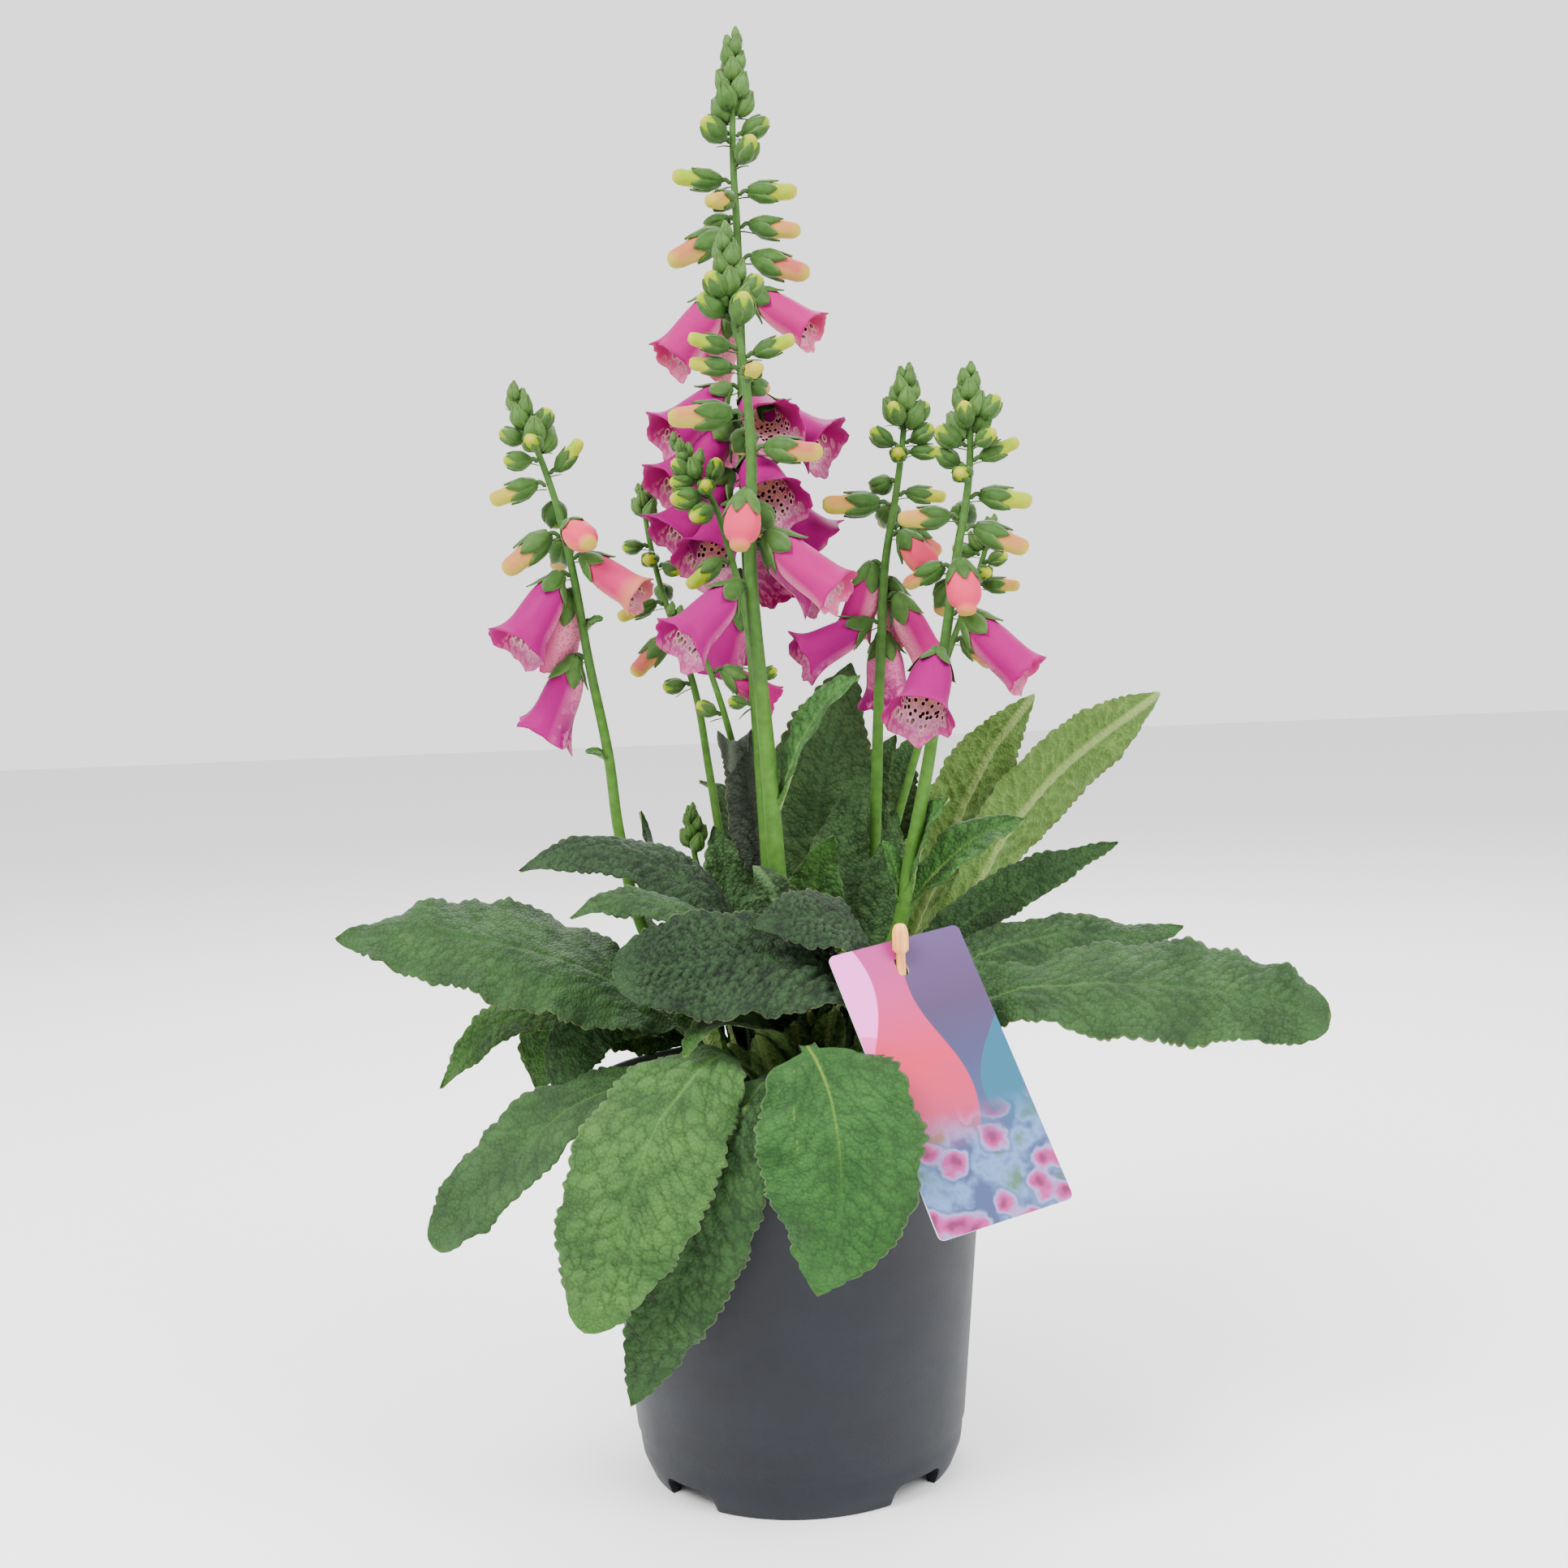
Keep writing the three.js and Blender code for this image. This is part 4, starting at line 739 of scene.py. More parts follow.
# The groove colour is the dark green of the shade painted into the vein grooves
def leaf_finish(name, deep, lit, rib_colour, rib_share, groove_shade="#10200d",
                under=("#46622a", "#4c692d", "#6a8842", "#7c9050")):
    material, shader, add = start_finish(name, Roughness=0.6, IOR=1.42, Specular_IOR_Level=0.18,
                                         Sheen_Weight=0.05, Sheen_Roughness=0.5, Subsurface_Weight=0.05,
                                         Subsurface_Scale=0.002)
    spot = add("SeparateXYZ", {"Vector": add("Attribute", attribute_name="blade")}).outputs
    state = add("SeparateXYZ", {"Vector": add("Attribute", attribute_name="blade_state")})
    underside, veins, edge = state.outputs
    flat = add("CombineXYZ", {"X": spot["X"], "Y": spot["Y"]})
    patches = add("TexNoise", {"Vector": flat, "Scale": 0.05, "Detail": 3})
    skin = add("ValToRGB", {"Fac": patches}, stops=[(0.3, deep), (0.7, lit)])
    # The finest veins lie 2 mm apart inside the larger puffs, and their lines are darkened as painted shade
    fine = add("TexVoronoi", {"Vector": flat, "Scale": 0.5, "Randomness": 0.9}, feature="DISTANCE_TO_EDGE",
               voronoi_dimensions="2D")
    fine_groove_shade = add("MapRange", {"Value": fine, "From Max": 0.13, "To Min": 0.3, "To Max": 0})
    crisp = add("Math", {0: veins, 1: 1.3}, operation="POWER")
    # Painted shade: the vein grooves, the borders of the puffs and the finest vein lines are darkened towards
    # the groove colour
    painted_groove_shade = add("Math", {0: crisp, 1: 0.85, 2: fine_groove_shade}, operation="MULTIPLY_ADD", use_clamp=True)
    from_rib = add("Math", {0: spot["Y"]}, operation="ABSOLUTE")
    rib_half = add("MapRange", {"Value": spot["Z"], "From Min": 0.3, "From Max": 0.8, "To Min": 1.1,
                                "To Max": 0.5})
    rib = add("MapRange", {"Value": from_rib, "From Min": 0.2, "From Max": rib_half, "To Min": rib_share,
                           "To Max": 0}, interpolation_type="SMOOTHSTEP")
    upper = paint(add, skin, {"painted_groove_shade": painted_groove_shade, "rib": rib, "fading": (spot["Z"], 0.35, 0.78, 1, 0)},
                  {"painted_groove_shade": groove_shade, "rib fading": rib_colour})
    pale = add("ValToRGB", {"Fac": veins}, stops=[(0.0, under[0]), (0.4, under[1]), (0.9, under[2])])
    lower = paint(add, pale, {"rib": (from_rib, 1, 2.4, 0.9, 0)}, {"rib": under[3]})
    # Single hairs are far under a millimetre, drawn as specks of 0.5 mm so that they show
    hairs = add("TexNoise", {"Vector": flat, "Scale": 1.9, "Detail": 2})
    # The pale rim is partly the hairs' own pale colour and partly painted sheen; the specks are the hairs
    # themselves
    haired_with_rim_sheen = paint(add, upper,
                   {"underside": underside, "rim": (edge, 0.95, 1, 0, 0.4),
                    "hairs": (hairs, 0.64, 0.78, 0, 0.32)},
                   {"underside": lower, "rim": HAIR_AND_RIM_SHEEN, "hairs": HAIR_AND_RIM_SHEEN})
    dome = add("MapRange", {"Value": fine, "From Max": 0.3})
    height = add("Math", {0: hairs, 1: 0.5, 2: dome}, operation="MULTIPLY_ADD")
    bump = add("Bump", {"Height": height, "Strength": 0.5, "Distance": 0.0005})
    fill_inputs(shader, {"Base Color": haired_with_rim_sheen, "Normal": bump})
    return material


LEAF_SKINS = {
    "deep": leaf_finish("felted_leaf_deep", "#1f391a", "#315226", "#5c7a3c", 0.35),
    # Painted shade: the shaded skin has darker greens, darker grooves and a darker underside for leaves that
    # sit in shade
    "shaded": leaf_finish("felted_leaf_shaded", "#1a2d18", "#273f22", "#44603a", 0.3, "#050c05",
                          ("#1e3019", "#26391f", "#3c5430", "#44603a")),
    # Painted light: the crown skin has lighter greens that make up for the shade on the crown and back leaves
    "crown": leaf_finish("felted_leaf_crown_painted_light", "#324d2a", "#446438", "#56703e", 0.35),
    "dusky": leaf_finish("felted_leaf_dusky", "#22281d", "#313a2b", "#3a4633", 0.2, "#0c0e0c",
                         ("#1d241c", "#252d22", "#333c2f", "#3c4437")),
    "stem": leaf_finish("felted_leaf_stem", "#2c5220", "#3c6a2a", "#7c9448", 0.45, "#10200d",
                        ("#34581f", "#3a6224", "#64843c", "#7c9050")),
    "light": leaf_finish("felted_leaf_light", "#2a4c21", "#43692e", "#5f8040", 0.4),
    "bright": leaf_finish("felted_leaf_bright", "#274818", "#3c6226", "#7c9448", 0.45),
    "yellow_rib": leaf_finish("felted_leaf_yellow_rib", "#1f4419", "#305a26", "#73902a", 0.7),
}
SKIN_OF = {
    "leaf_front_1": "light", "leaf_front_3": "yellow_rib", "leaf_front_4": "shaded", "leaf_front_5": "shaded",
    "leaf_left_2": "shaded", "leaf_left_5": "bright", "leaf_left_6": "bright", "leaf_front_6": "bright",
    "leaf_front_7": "bright", "leaf_right_4": "bright", "leaf_right_5": "bright", "leaf_crown_3": "bright",
    "leaf_crown_4": "dusky", "leaf_crown_7": "shaded",
}

# %% Grow the leaves
leaf_faces = 0
for number, (name, leaf) in enumerate(LEAVES.items()):
    bm = bmesh_with("blade", "blade_state")
    grow_leaf(bm, leaf, number * 1.37)
    leaf_faces += len(bm.faces)
    # Crown and back leaves take the crown skin with its painted light
    usual = "crown" if "crown" in name or "back" in name else "deep"
    finish_piece("blade_" + name, bm, [name], [LEAF_SKINS[SKIN_OF.get(name, usual)]])
print("leaf faces:", leaf_faces)

# %% Young leaves in the heart of the rosette
YOUNG_LEAF_COUNT = 36
GOLDEN_TURN = 137.5
young_chance = random.Random(31)
young_bm = bmesh_with("blade", "blade_state")
for k in range(YOUNG_LEAF_COUNT):
    lean = k * GOLDEN_TURN
    outward = level_way(lean)
    foot = Vector((CROWN["x"], CROWN["y"], STALK_FOOT)) + outward * (6 + 1.2 * k)
    tall = young_chance.uniform(30, 66) - 0.5 * k
    spread = young_chance.uniform(8, 20)
    path = [foot + outward * spread * share ** 1.6 + Vector((0, 0, 10 + tall * share))
            for share in (0.15, 0.4, 0.7, 0.9, 1)]
    leaf = leaf_shape(young_chance.uniform(15, 23), lean, 0, 0.3, [foot, *path], stations=7, stalk=0.12)
    grow_leaf(young_bm, leaf, k * 2.1)
finish_piece("young_leaves", young_bm, [], [LEAF_SKINS["deep"]])
print("young leaves:", YOUNG_LEAF_COUNT)

# %% [markdown]
# ## Flower spikes
# A foxglove opens from the bottom up, so one spike shows every age of flower: tight green buds at
# the top, then longer buds with a cream or peach tip, then pink bells that are about to open, then
# magenta bells that hang open, pale and spotted inside. Each flower hangs on a short curved stalk
# from the armpit of a small pointed leaf, and five green sepals hold its base. The green parts of a
# spike make one piece and the coloured tubes another, because they have different finishes.

# %% Spike measures
SPIKES = {
    "spike_tall": {
        "thickness": 4, "cluster": (609, 10, 33, 250),
        "stem": [(2, 16, STALK_FOOT), (2, 17, 190), (-2, 24, 250), (-6, 32, 328), (-9, 38, 384),
            (-8.5, 43, 458), (-8, 45, 521), (-8.5, 45, 560), (-6.5, 45, 607)],
        "florets": [("green", 563, 215, 40), ("green", 567, 150, 48, 0.9), ("green", 566, 15, 32),
            ("green", 553, 310, 48), ("long", 546, 187, 6), ("long", 541, 355, -3),
            ("long", 537, 245, -12, 0.95), ("green", 531, 140, -12), ("long", 527, 350, -12, 1.05),
            ("long", 523, 200, -28, 1.3), ("long", 513, 345, -22, 1.25), ("opening", 498, 348, -36, 1.02),
            ("opening", 492, 112, -52, 0.9), ("opening", 499, 188, -50, 1.18, 0.8),
            ("bell", 458, 194, -38), ("bell", 450, 350, -34), ("bell", 453, 300, -30, 0.9),
            ("bell", 447, 105, -35), ("bell", 441, 197, -44, 1.1), ("bell", 428, 300, -40),
            ("bell", 421, 190, -46, 1.08), ("bell", 414, 12, -44), ("bell", 408, 228, -46),
            ("bell", 402, 70, -50), ("bell", 391, 0, -42, 0.95), ("bell", 378, 108, -56),
            ("bell", 364, 160, -72, 0.9)],
    },
    "spike_front": {
        "thickness": 4.6, "cluster": (512, 10, 32, 200),
        "stem": [(4, -7, STALK_FOOT), (3, -10, 192), (-1, -19, 252), (-3, -25, 300), (-7, -30, 378),
            (-5, -30, 423), (-7, -30, 462), (-9.5, -29, 475), (-13, -28, 510)],
        "florets": [("green", 484, 225, 50, 0.9), ("green", 483, 350, 50, 0.9),
            ("green", 477, 195, 42, 0.95), ("green", 473, 290, 58), ("long", 464, 190, 14, 0.78),
            ("long", 461, 350, 18, 0.8), ("long", 456, 172, 10, 0.8), ("long", 453, 285, 0, 0.8),
            ("long", 450, 70, 0, 0.85), ("long", 438, 190, -3, 1.2), ("long", 424, 345, -9, 1.1),
            ("long", 430, 100, -10), ("blush", 407, 250, -68), ("long", 402, 75, -30, 1.1),
            ("opening", 390, 350, -41, 1.16), ("bell", 371, 196, -42, 0.95)],
        "leaves": [(280, 352, 38, 54, 20)],
    },
    "spike_left": {
        "thickness": 3.2, "cluster": (455, 7, 22, 120),
        "stem": [(-20, 1, STALK_FOOT), (-31, 2, 186), (-58, 3, 227), (-67, 2, 270), (-70, 0, 304),
            (-76, -5, 344), (-80, -8, 377), (-85, -10, 405), (-92.5, -10, 430), (-103, -10, 455)],
        "florets": [("green", 433, 180, 22, 0.8), ("green", 437, 350, 60, 0.75),
            ("green", 430, 265, 15, 0.8), ("green", 425, 190, 0, 0.85), ("long", 420, 350, 48, 0.75),
            ("long", 415, 190, -20, 0.95), ("green", 408, 100, -48), ("blush", 398, 300, -25, 0.9),
            ("long", 394, 196, -38, 1.15), ("long", 392, 105, -30),
            ("opening", 385, 350, -36, 0.93, 0.62), ("bell", 378, 198, -56, 0.95),
            ("opening", 371, 120, -66, 1, 0.8), ("bell", 344, 155, -64, 0.92)],
        "leaves": [(358, 355, 9, 3, 5), (304, 200, 10, 2, 5)],
    },
    "spike_right_inner": {
        "thickness": 3.4, "cluster": (461, 7, 21, 40),
        "stem": [(26, 18, STALK_FOOT), (32, 19, 184), (41, 23, 260), (45, 25, 319), (47, 25, 345),
            (50, 25, 380), (55, 25, 406), (59, 25, 430), (62, 25, 459)],
        "florets": [("green", 437, 240, 58, 0.8), ("green", 438, 0, 54, 0.8),
            ("green", 429, 186, 38, 0.85), ("green", 430, 355, 34, 0.85), ("green", 424, 262, 4, 0.75),
            ("long", 425, 0, 0, 0.72), ("green", 414, 130, -10, 0.9), ("long", 408, 5, -8, 0.8),
            ("long", 404, 183, 0, 1.15), ("long", 402, 95, -15), ("long", 394, 22, -36),
            ("blush", 391, 325, -48, 0.97), ("opening", 379, 145, -70, 0.95, 0.8),
            ("opening", 372, 80, -56, 0.95, 0.8), ("opening", 365, 28, -62, 0.95, 0.78),
            ("bell", 354, 178, -26, 0.88), ("bell", 349, 88, -72, 0.85)],
    },
    "spike_right_outer": {
        "thickness": 3.8, "cluster": (455, 8, 24, 300),
        "stem": [(30, 2, STALK_FOOT), (32, 0, 186), (49, -8, 229), (54, -10, 255), (63, -12, 297),
            (72, -14, 350), (77.5, -15, 383), (82, -15, 405), (84, -15, 425), (84, -15, 453)],
        "florets": [("green", 434, 345, 50, 0.9), ("green", 432, 250, 60, 0.75),
            ("green", 424, 190, 38, 0.9), ("green", 424, 310, 24, 0.8), ("long", 418, 350, 22, 0.78),
            ("green", 416, 160, 38, 0.85), ("green", 412, 250, 0, 0.8), ("long", 403, 350, -10),
            ("long", 395, 190, -2), ("long", 398, 85, -10), ("long", 390, 350, -26, 1.1),
            ("blush", 377, 280, -66, 0.95), ("long", 375, 150, -22, 0.9), ("long", 368, 95, -30, 1.1),
            ("opening", 356, 350, -47, 1.12, 0.86), ("bell", 341, 236, -48, 0.95)],
        "leaves": [(236, 15, 56, 34, 20), (242, 345, 20, 40, 18), (238, 160, 8, 26, 8)],
    },
    "spike_small_front": {
        "thickness": 2.6, "cluster": (434, 5, 14, 0),
        "stem": [(-7, 2, STALK_FOOT), (-5, 3, 200), (-8, 0, 318), (-9.5, -2, 355), (-13, -3, 374),
            (-20.5, -4, 404), (-24, -5, 411), (-29, -5, 420), (-39, -5, 433)],
        "florets": [("green", 417, 200, 40, 0.7), ("green", 414, 195, 0, 0.75),
            ("green", 414, 330, 68, 0.75), ("green", 411, 270, 8, 0.7), ("green", 408, 205, -5),
            ("green", 403, 230, -22, 0.9), ("long", 381, 200, -36, 0.85), ("green", 333, 340, 20, 0.6),
            ("green", 322, 200, 10, 0.6)],
    },
    "spike_small_left": {
        "thickness": 2.5, "cluster": (420, 5, 12, 60),
        "stem": [(-14, 19, STALK_FOOT), (-16, 24, 190), (-26, 40, 263), (-30, 48, 293), (-35, 54, 328),
            (-48, 57, 373), (-53, 58, 398), (-55, 58, 418)],
        "florets": [("green", 392, 185, -5, 0.7), ("green", 386, 260, -5, 0.75),
            ("green", 383, 330, -20, 0.75), ("long", 372, 90, -10, 0.8), ("long", 366, 190, -20, 0.85),
            ("long", 356, 60, -25, 0.85), ("green", 354, 240, -42, 0.8), ("long", 350, 200, -45, 1.05),
            ("green", 330, 190, -8, 0.75)],
    },
    "spike_small_middle": {
        "thickness": 2.4, "cluster": (365, 6, 12, 90),
        "stem": [(-8, 22, STALK_FOOT), (-9, 25, 200), (-13, 27, 255), (-16, 17, 292), (-19, 9, 310),
            (-24, 4, 330), (-29, 4, 344), (-42, 4, 363)],
        "florets": [("green", 347, 120, 20, 0.7), ("opening", 336, 18, -34, 0.8),
            ("green", 318, 200, 30, 0.7)],
    },
    "spike_small_right": {
        "thickness": 2.5, "cluster": (398, 6, 10, 10),
        "stem": [(34, 25, STALK_FOOT), (38, 26, 188), (48, 30, 255), (58, 33, 288), (79, 36, 346),
            (91, 37, 375), (98, 37, 396)],
        "florets": [("green", 382, 168, 20, 0.75), ("green", 378, 330, 20, 0.7),
            ("green", 374, 285, -5, 0.7), ("long", 372, 95, -10, 0.8), ("long", 368, 350, -4, 0.75),
            ("long", 345, 330, -44, 0.85)],
    },
    "shoot": {
        "thickness": 2.4, "cluster": (278, 7, 16, 0),
        "stem": [(-14, 27, STALK_FOOT), (-21, 35, 200), (-30, 36, 234), (-37, 34, 255), (-38, 33, 276)],
        "florets": [],
    },
}
print("spikes:", len(SPIKES), "florets:", sum(len(spike["florets"]) for spike in SPIKES.values()))

# %% Ages of a flower
# For each age: the outline of its tube as (distance, radius), how far its lips reach, the length
# and half width of its sepals, the length of its own stalk, and how ripe its colour is
AGES = {
    "tight": {"tube": [(0, 0), (0.8, 1.7), (3.4, 2.9), (6, 2.5), (8.2, 1.4), (9.8, 0.5), (10.4, 0)], "lip": 0,
              "sepal": (11, 3.3), "stalk": 1.5, "ripe": 0.0},
    "green": {"tube": [(0, 0), (0.8, 2), (4, 4.1), (8, 4.3), (11, 3.4), (12.8, 1.8), (13.2, 0)], "lip": 0,
              "sepal": (12.2, 4.2), "stalk": 3.5, "ripe": 0.0},
    "long": {"tube": [(0, 0), (0.8, 2.2), (5, 4.3), (10, 4.4), (14, 3.8), (18.6, 3.5), (20.6, 2.2), (21, 0)],
             "lip": 0, "sepal": (13.6, 4.6), "stalk": 5, "ripe": 0.2},
    "blush": {"tube": [(0, 0), (0.8, 2.4), (6, 5.4), (13, 7), (18, 6.8), (20.6, 5.6), (21.6, 4.4),
                       (22.4, 4.1), (24.6, 3.9), (25.6, 2.8), (25.8, 0)],
              "lip": 0, "sepal": (13, 4.8), "stalk": 5, "ripe": 0.5},
    "opening": {"tube": [(0, 0), (0.6, 2.6), (6, 5.6), (14, 7.4), (22, 7.9), (28, 7.9), (32, 8.2)], "lip": 4,
                "sepal": (13.5, 5), "stalk": 5, "ripe": 0.76},
    "bell": {"tube": [(0, 0), (0.6, 2.6), (3.5, 3.7), (7, 6.2), (13, 8.3), (20, 9.2), (27, 9.8), (32, 10.8),
                      (36, 12.4)],
             "lip": 6.6, "sepal": (13.5, 5.2), "stalk": 5, "ripe": 1.0},
}
# For each lobe of the lip: its direction round the mouth, reach, width and how far it turns out
LOBES = [(180, 1.0, 36, 1.3), (108, 0.45, 28, 3.1), (-108, 0.45, 28, 3.1), (36, 0.15, 22, 2.5),
         (-36, 0.15, 22, 2.5)]
LIGHT_SIDE = Vector((0, -1, 0))
LIGHT_DIRECTION = 270
# An open flower swings up to this many degrees towards the light
TURN_LIMIT = 8
MOUTH_TURN = 0.5


def lip_shape(angle):
    degrees = math.degrees(angle)
    reach = 0
    flare = 0
    for centre, share, width, out in LOBES:
        turn = (degrees - centre + 180) % 360 - 180
        reach += share * bell_curve(turn, width)
        flare += out * bell_curve(turn, width)
    return reach, flare


# %% Frame of one floret
def at_height(stem, height):
    upper = next((k for k, point in enumerate(stem) if point[2] >= height), len(stem) - 1)
    upper = max(1, upper)
    below = Vector(stem[upper - 1])
    above = Vector(stem[upper])
    share = (height - below.z) / (above.z - below.z)
    return below.lerp(above, min(1, max(0, share)))


def floret_frame(stem, age, height, direction, pitch, size):
    if age in ("opening", "bell"):
        turn_to_light = (LIGHT_DIRECTION - direction + 180) % 360 - 180
        direction += max(-TURN_LIMIT, min(TURN_LIMIT, turn_to_light))
    flat = level_way(direction)
    ahead = flat * math.cos(math.radians(pitch)) + Vector((0, 0, math.sin(math.radians(pitch))))
    side = Vector((-flat.y, flat.x, 0))
    root = at_height(stem, height)
    foot = root + flat * (1.9 * size if age == "tight" else AGES[age]["stalk"] * size * 0.8 + 2)
    foot.z += AGES[age]["stalk"] * 0.35
    return {"flat": flat, "ahead": ahead, "side": side, "upward": ahead.cross(side), "root": root,
            "foot": foot, "size": size}


def on_tube(floret, distance, angle, radius):
    out = floret["upward"] * math.cos(angle) + floret["side"] * math.sin(angle)
    return floret["foot"] + (floret["ahead"] * distance + out * radius) * floret["size"]


# %% Coloured tube
def tube_swell(s, angle):
    """A tube is fuller on its low side and a little flatter from above than from the side"""
    low = (1 - math.cos(angle)) / 2
    return (1 + 0.1 * math.sin(math.pi * s) * (2 * low - 1)) * (1 - 0.06 * math.cos(2 * angle))


TUBE_STEPS = {"green": (10, 10), "long": (14, 14), "blush": (18, 18), "opening": (26, 32), "bell": (30, 36)}


def grow_tube(bm, floret, age, ripe, seed):
    place_layer = bm.verts.layers.float_vector["petal"]
    state_layer = bm.verts.layers.float_vector["petal_state"]
    along_steps, around_steps = TUBE_STEPS[age]
    outline = smooth_line(AGES[age]["tube"], along_steps + 1)[0]
    lip = AGES[age]["lip"]
    opened = lip / AGES["bell"]["lip"]
    # The mouth of an open flower is turned a little about its own axis, towards the light
    mouth_turn = MOUTH_TURN * floret["side"].dot(LIGHT_SIDE) if lip else 0

    def place_point(vert, s, a):
        k = round(s * along_steps)
        distance, radius = outline[k]
        angle = math.tau * a
        radius *= tube_swell(s, angle)
        lip_angle = angle - mouth_turn
        low = (1 - math.cos(lip_angle)) / 2
        closed = k == 0 or (not lip and k == along_steps)
        if lip:
            mouth = max(0, (s - 0.7) / 0.3)
            reach, flare = lip_shape(lip_angle)
            distance += lip * reach * mouth ** 1.6
            radius += (0.4 + flare) * mouth ** 3 * opened
            ruffle = noise.noise(Vector((math.cos(angle) * 2.9, math.sin(angle) * 2.9, seed)))
            radius += 2.6 * ruffle * mouth ** 2 * opened
            distance += 2.2 * ruffle * mouth ** 3
        else:
            radius += math.cos(3 * angle + seed) * max(0, (s - 0.75) / 0.25) * 0.35
        radius += 0.25 * noise.noise(Vector((s * 3, math.cos(angle), math.sin(angle) + seed)))
        if closed:
            radius = 0
        vert.co = on_tube(floret, distance, angle, radius) * MM
        vert[place_layer] = ((a - 0.5) * math.tau * max(radius, 2), distance * 1.1, seed)
        vert[state_layer] = (ripe, s, low)

    wrapped_sheet(bm, along_steps, around_steps, place_point)


# %% Sepals, stalks and bracts
SEPAL_COUNT = 5
SEPAL_SPREAD = {"tight": -0.35, "green": -0.1, "long": 0.2, "blush": 0.6, "opening": 1.2, "bell": 1.8}


def grow_sepal(bm, floret, age, number, start_angle, tint):
    """A pointed scale pressed on the tube: outer skin first, then back along the inner skin"""
    state_layer = bm.verts.layers.float_vector["green_state"]
    length, half_width = AGES[age]["sepal"]
    distances, radii = zip(*AGES[age]["tube"])
    centre_angle = start_angle + math.tau * number / SEPAL_COUNT
    bare_gap = 0.25 if age in ("tight", "green") else 0.9
    raised = 0.25 * (number % 2)

    def place_point(vert, s, a):
        outer, place = on_skin(a)
        distance = -0.6 + length * s
        half = half_width * (0.62 + 0.38 * math.sin(math.pi * min(1, s * 0.95))) * (1 - s ** 4) ** 0.85
        if s in (0, 1):
            half = 0
        bare = float(np.interp(distance, distances, radii))
        angle = centre_angle + place * min(1.1, half / (bare + 1))
        swollen = bare * tube_swell(min(1, max(0, distance / distances[-1])), angle)
        radius = max(swollen, bare_gap) + 0.5 + raised * (1 - s ** 3) + SEPAL_SPREAD[age] * s ** 4
        thick = 0.42 * (1 - place * place) + 0.2 * bell_curve(place, 0.16)
        radius += thick if outer else -0.15 * (1 - place * place)
        radius -= 0.15 * place * place
        vert.co = on_tube(floret, distance, angle, max(0.1, radius)) * MM
        vert[state_layer] = (tint, s, abs(place))

    wrapped_sheet(bm, 7 if age == "tight" else 10, 8, place_point)


def grow_rod(bm, points, radius_at, sides, steps, tint_at, across):
    """A stem or a stalk, told how green it is at each height"""
    state_layer = bm.verts.layers.float_vector["green_state"]
    faces = tube(bm, points, radius_at, sides, steps)
    for vert in {vert for face in faces for vert in face.verts}:
        vert[state_layer] = (tint_at(vert.co.z), 0.5, across)


def grow_bract(bm, root, flat, length, half_width, rise, tint, seed):
    """The small pointed leaf under each floret"""
    state_layer = bm.verts.layers.float_vector["green_state"]
    side = Vector((-flat.y, flat.x, 0))

    def place_point(vert, s, a):
        outer, place = on_skin(a)
        half = 0 if s in (0, 1) else half_width * math.sin(math.pi * (0.1 + 0.9 * s) ** 0.7) ** 1.2
        bend = rise * s - 0.5 * length * s * s * 0.35
        centre = root + flat * (1.2 + length * s * 0.92) + Vector((0, 0, bend - 1.2))
        centre += side * (0.9 * math.sin(seed + s * 2.2) * s)
        lift = 0.35 * place * place * half_width + (0.22 if outer else -0.22) * (1 - abs(place))
        vert.co = (centre + side * place * half + Vector((0, 0, lift))) * MM
        vert[state_layer] = (tint, s, abs(place))

    wrapped_sheet(bm, 8, 6, place_point)


def grow_bud_core(bm, floret, tint):
    """The green body that fills a tight bud between its sepals"""
    state_layer = bm.verts.layers.float_vector["green_state"]
    outline = smooth_line(AGES["tight"]["tube"], 7)[0]

    def place_point(vert, s, a):
        distance, radius = outline[round(s * 6)]
        vert.co = on_tube(floret, distance, math.tau * a, radius) * MM
        vert[state_layer] = (tint, s, 0.3)

    wrapped_sheet(bm, 6, 8, place_point)


# %% [markdown]
# ## Petal and stem finishes
# A petal is thin and soft: light passes a little way into it, its gloss is weak, and its colour
# runs from yellow-green through peach to magenta as it ripens. Every point of a tube knows how
# ripe its flower is, how far along it lies and how far under, and the colour follows these. Open
# bells are pale and finely speckled on their underside, with magenta patches towards the mouth.
# Inside, the lower lip is cream to pale pink with dark maroon spots of 1 to 2 mm, each in a pale
# ring. Stems and sepals are green with fine pale hairs, which show as a sheen and as a lighter
# edge that is partly their own pale colour and partly painted sheen.

# %% Petal finishes
def start_petal(name):
    """Both sides of a petal are told their place in mm, how ripe, how far along and how far under"""
    material, shader, add = start_finish(name, Roughness=0.55, IOR=1.4, Specular_IOR_Level=0.1,
                                         Sheen_Weight=0.02, Sheen_Roughness=0.45, Subsurface_Weight=0.1,
                                         Subsurface_Scale=0.0025)
    place = add("Attribute", attribute_name="petal")
    told = add("SeparateXYZ", {"Vector": add("Attribute", attribute_name="petal_state")})
    return material, shader, add, place, told.outputs


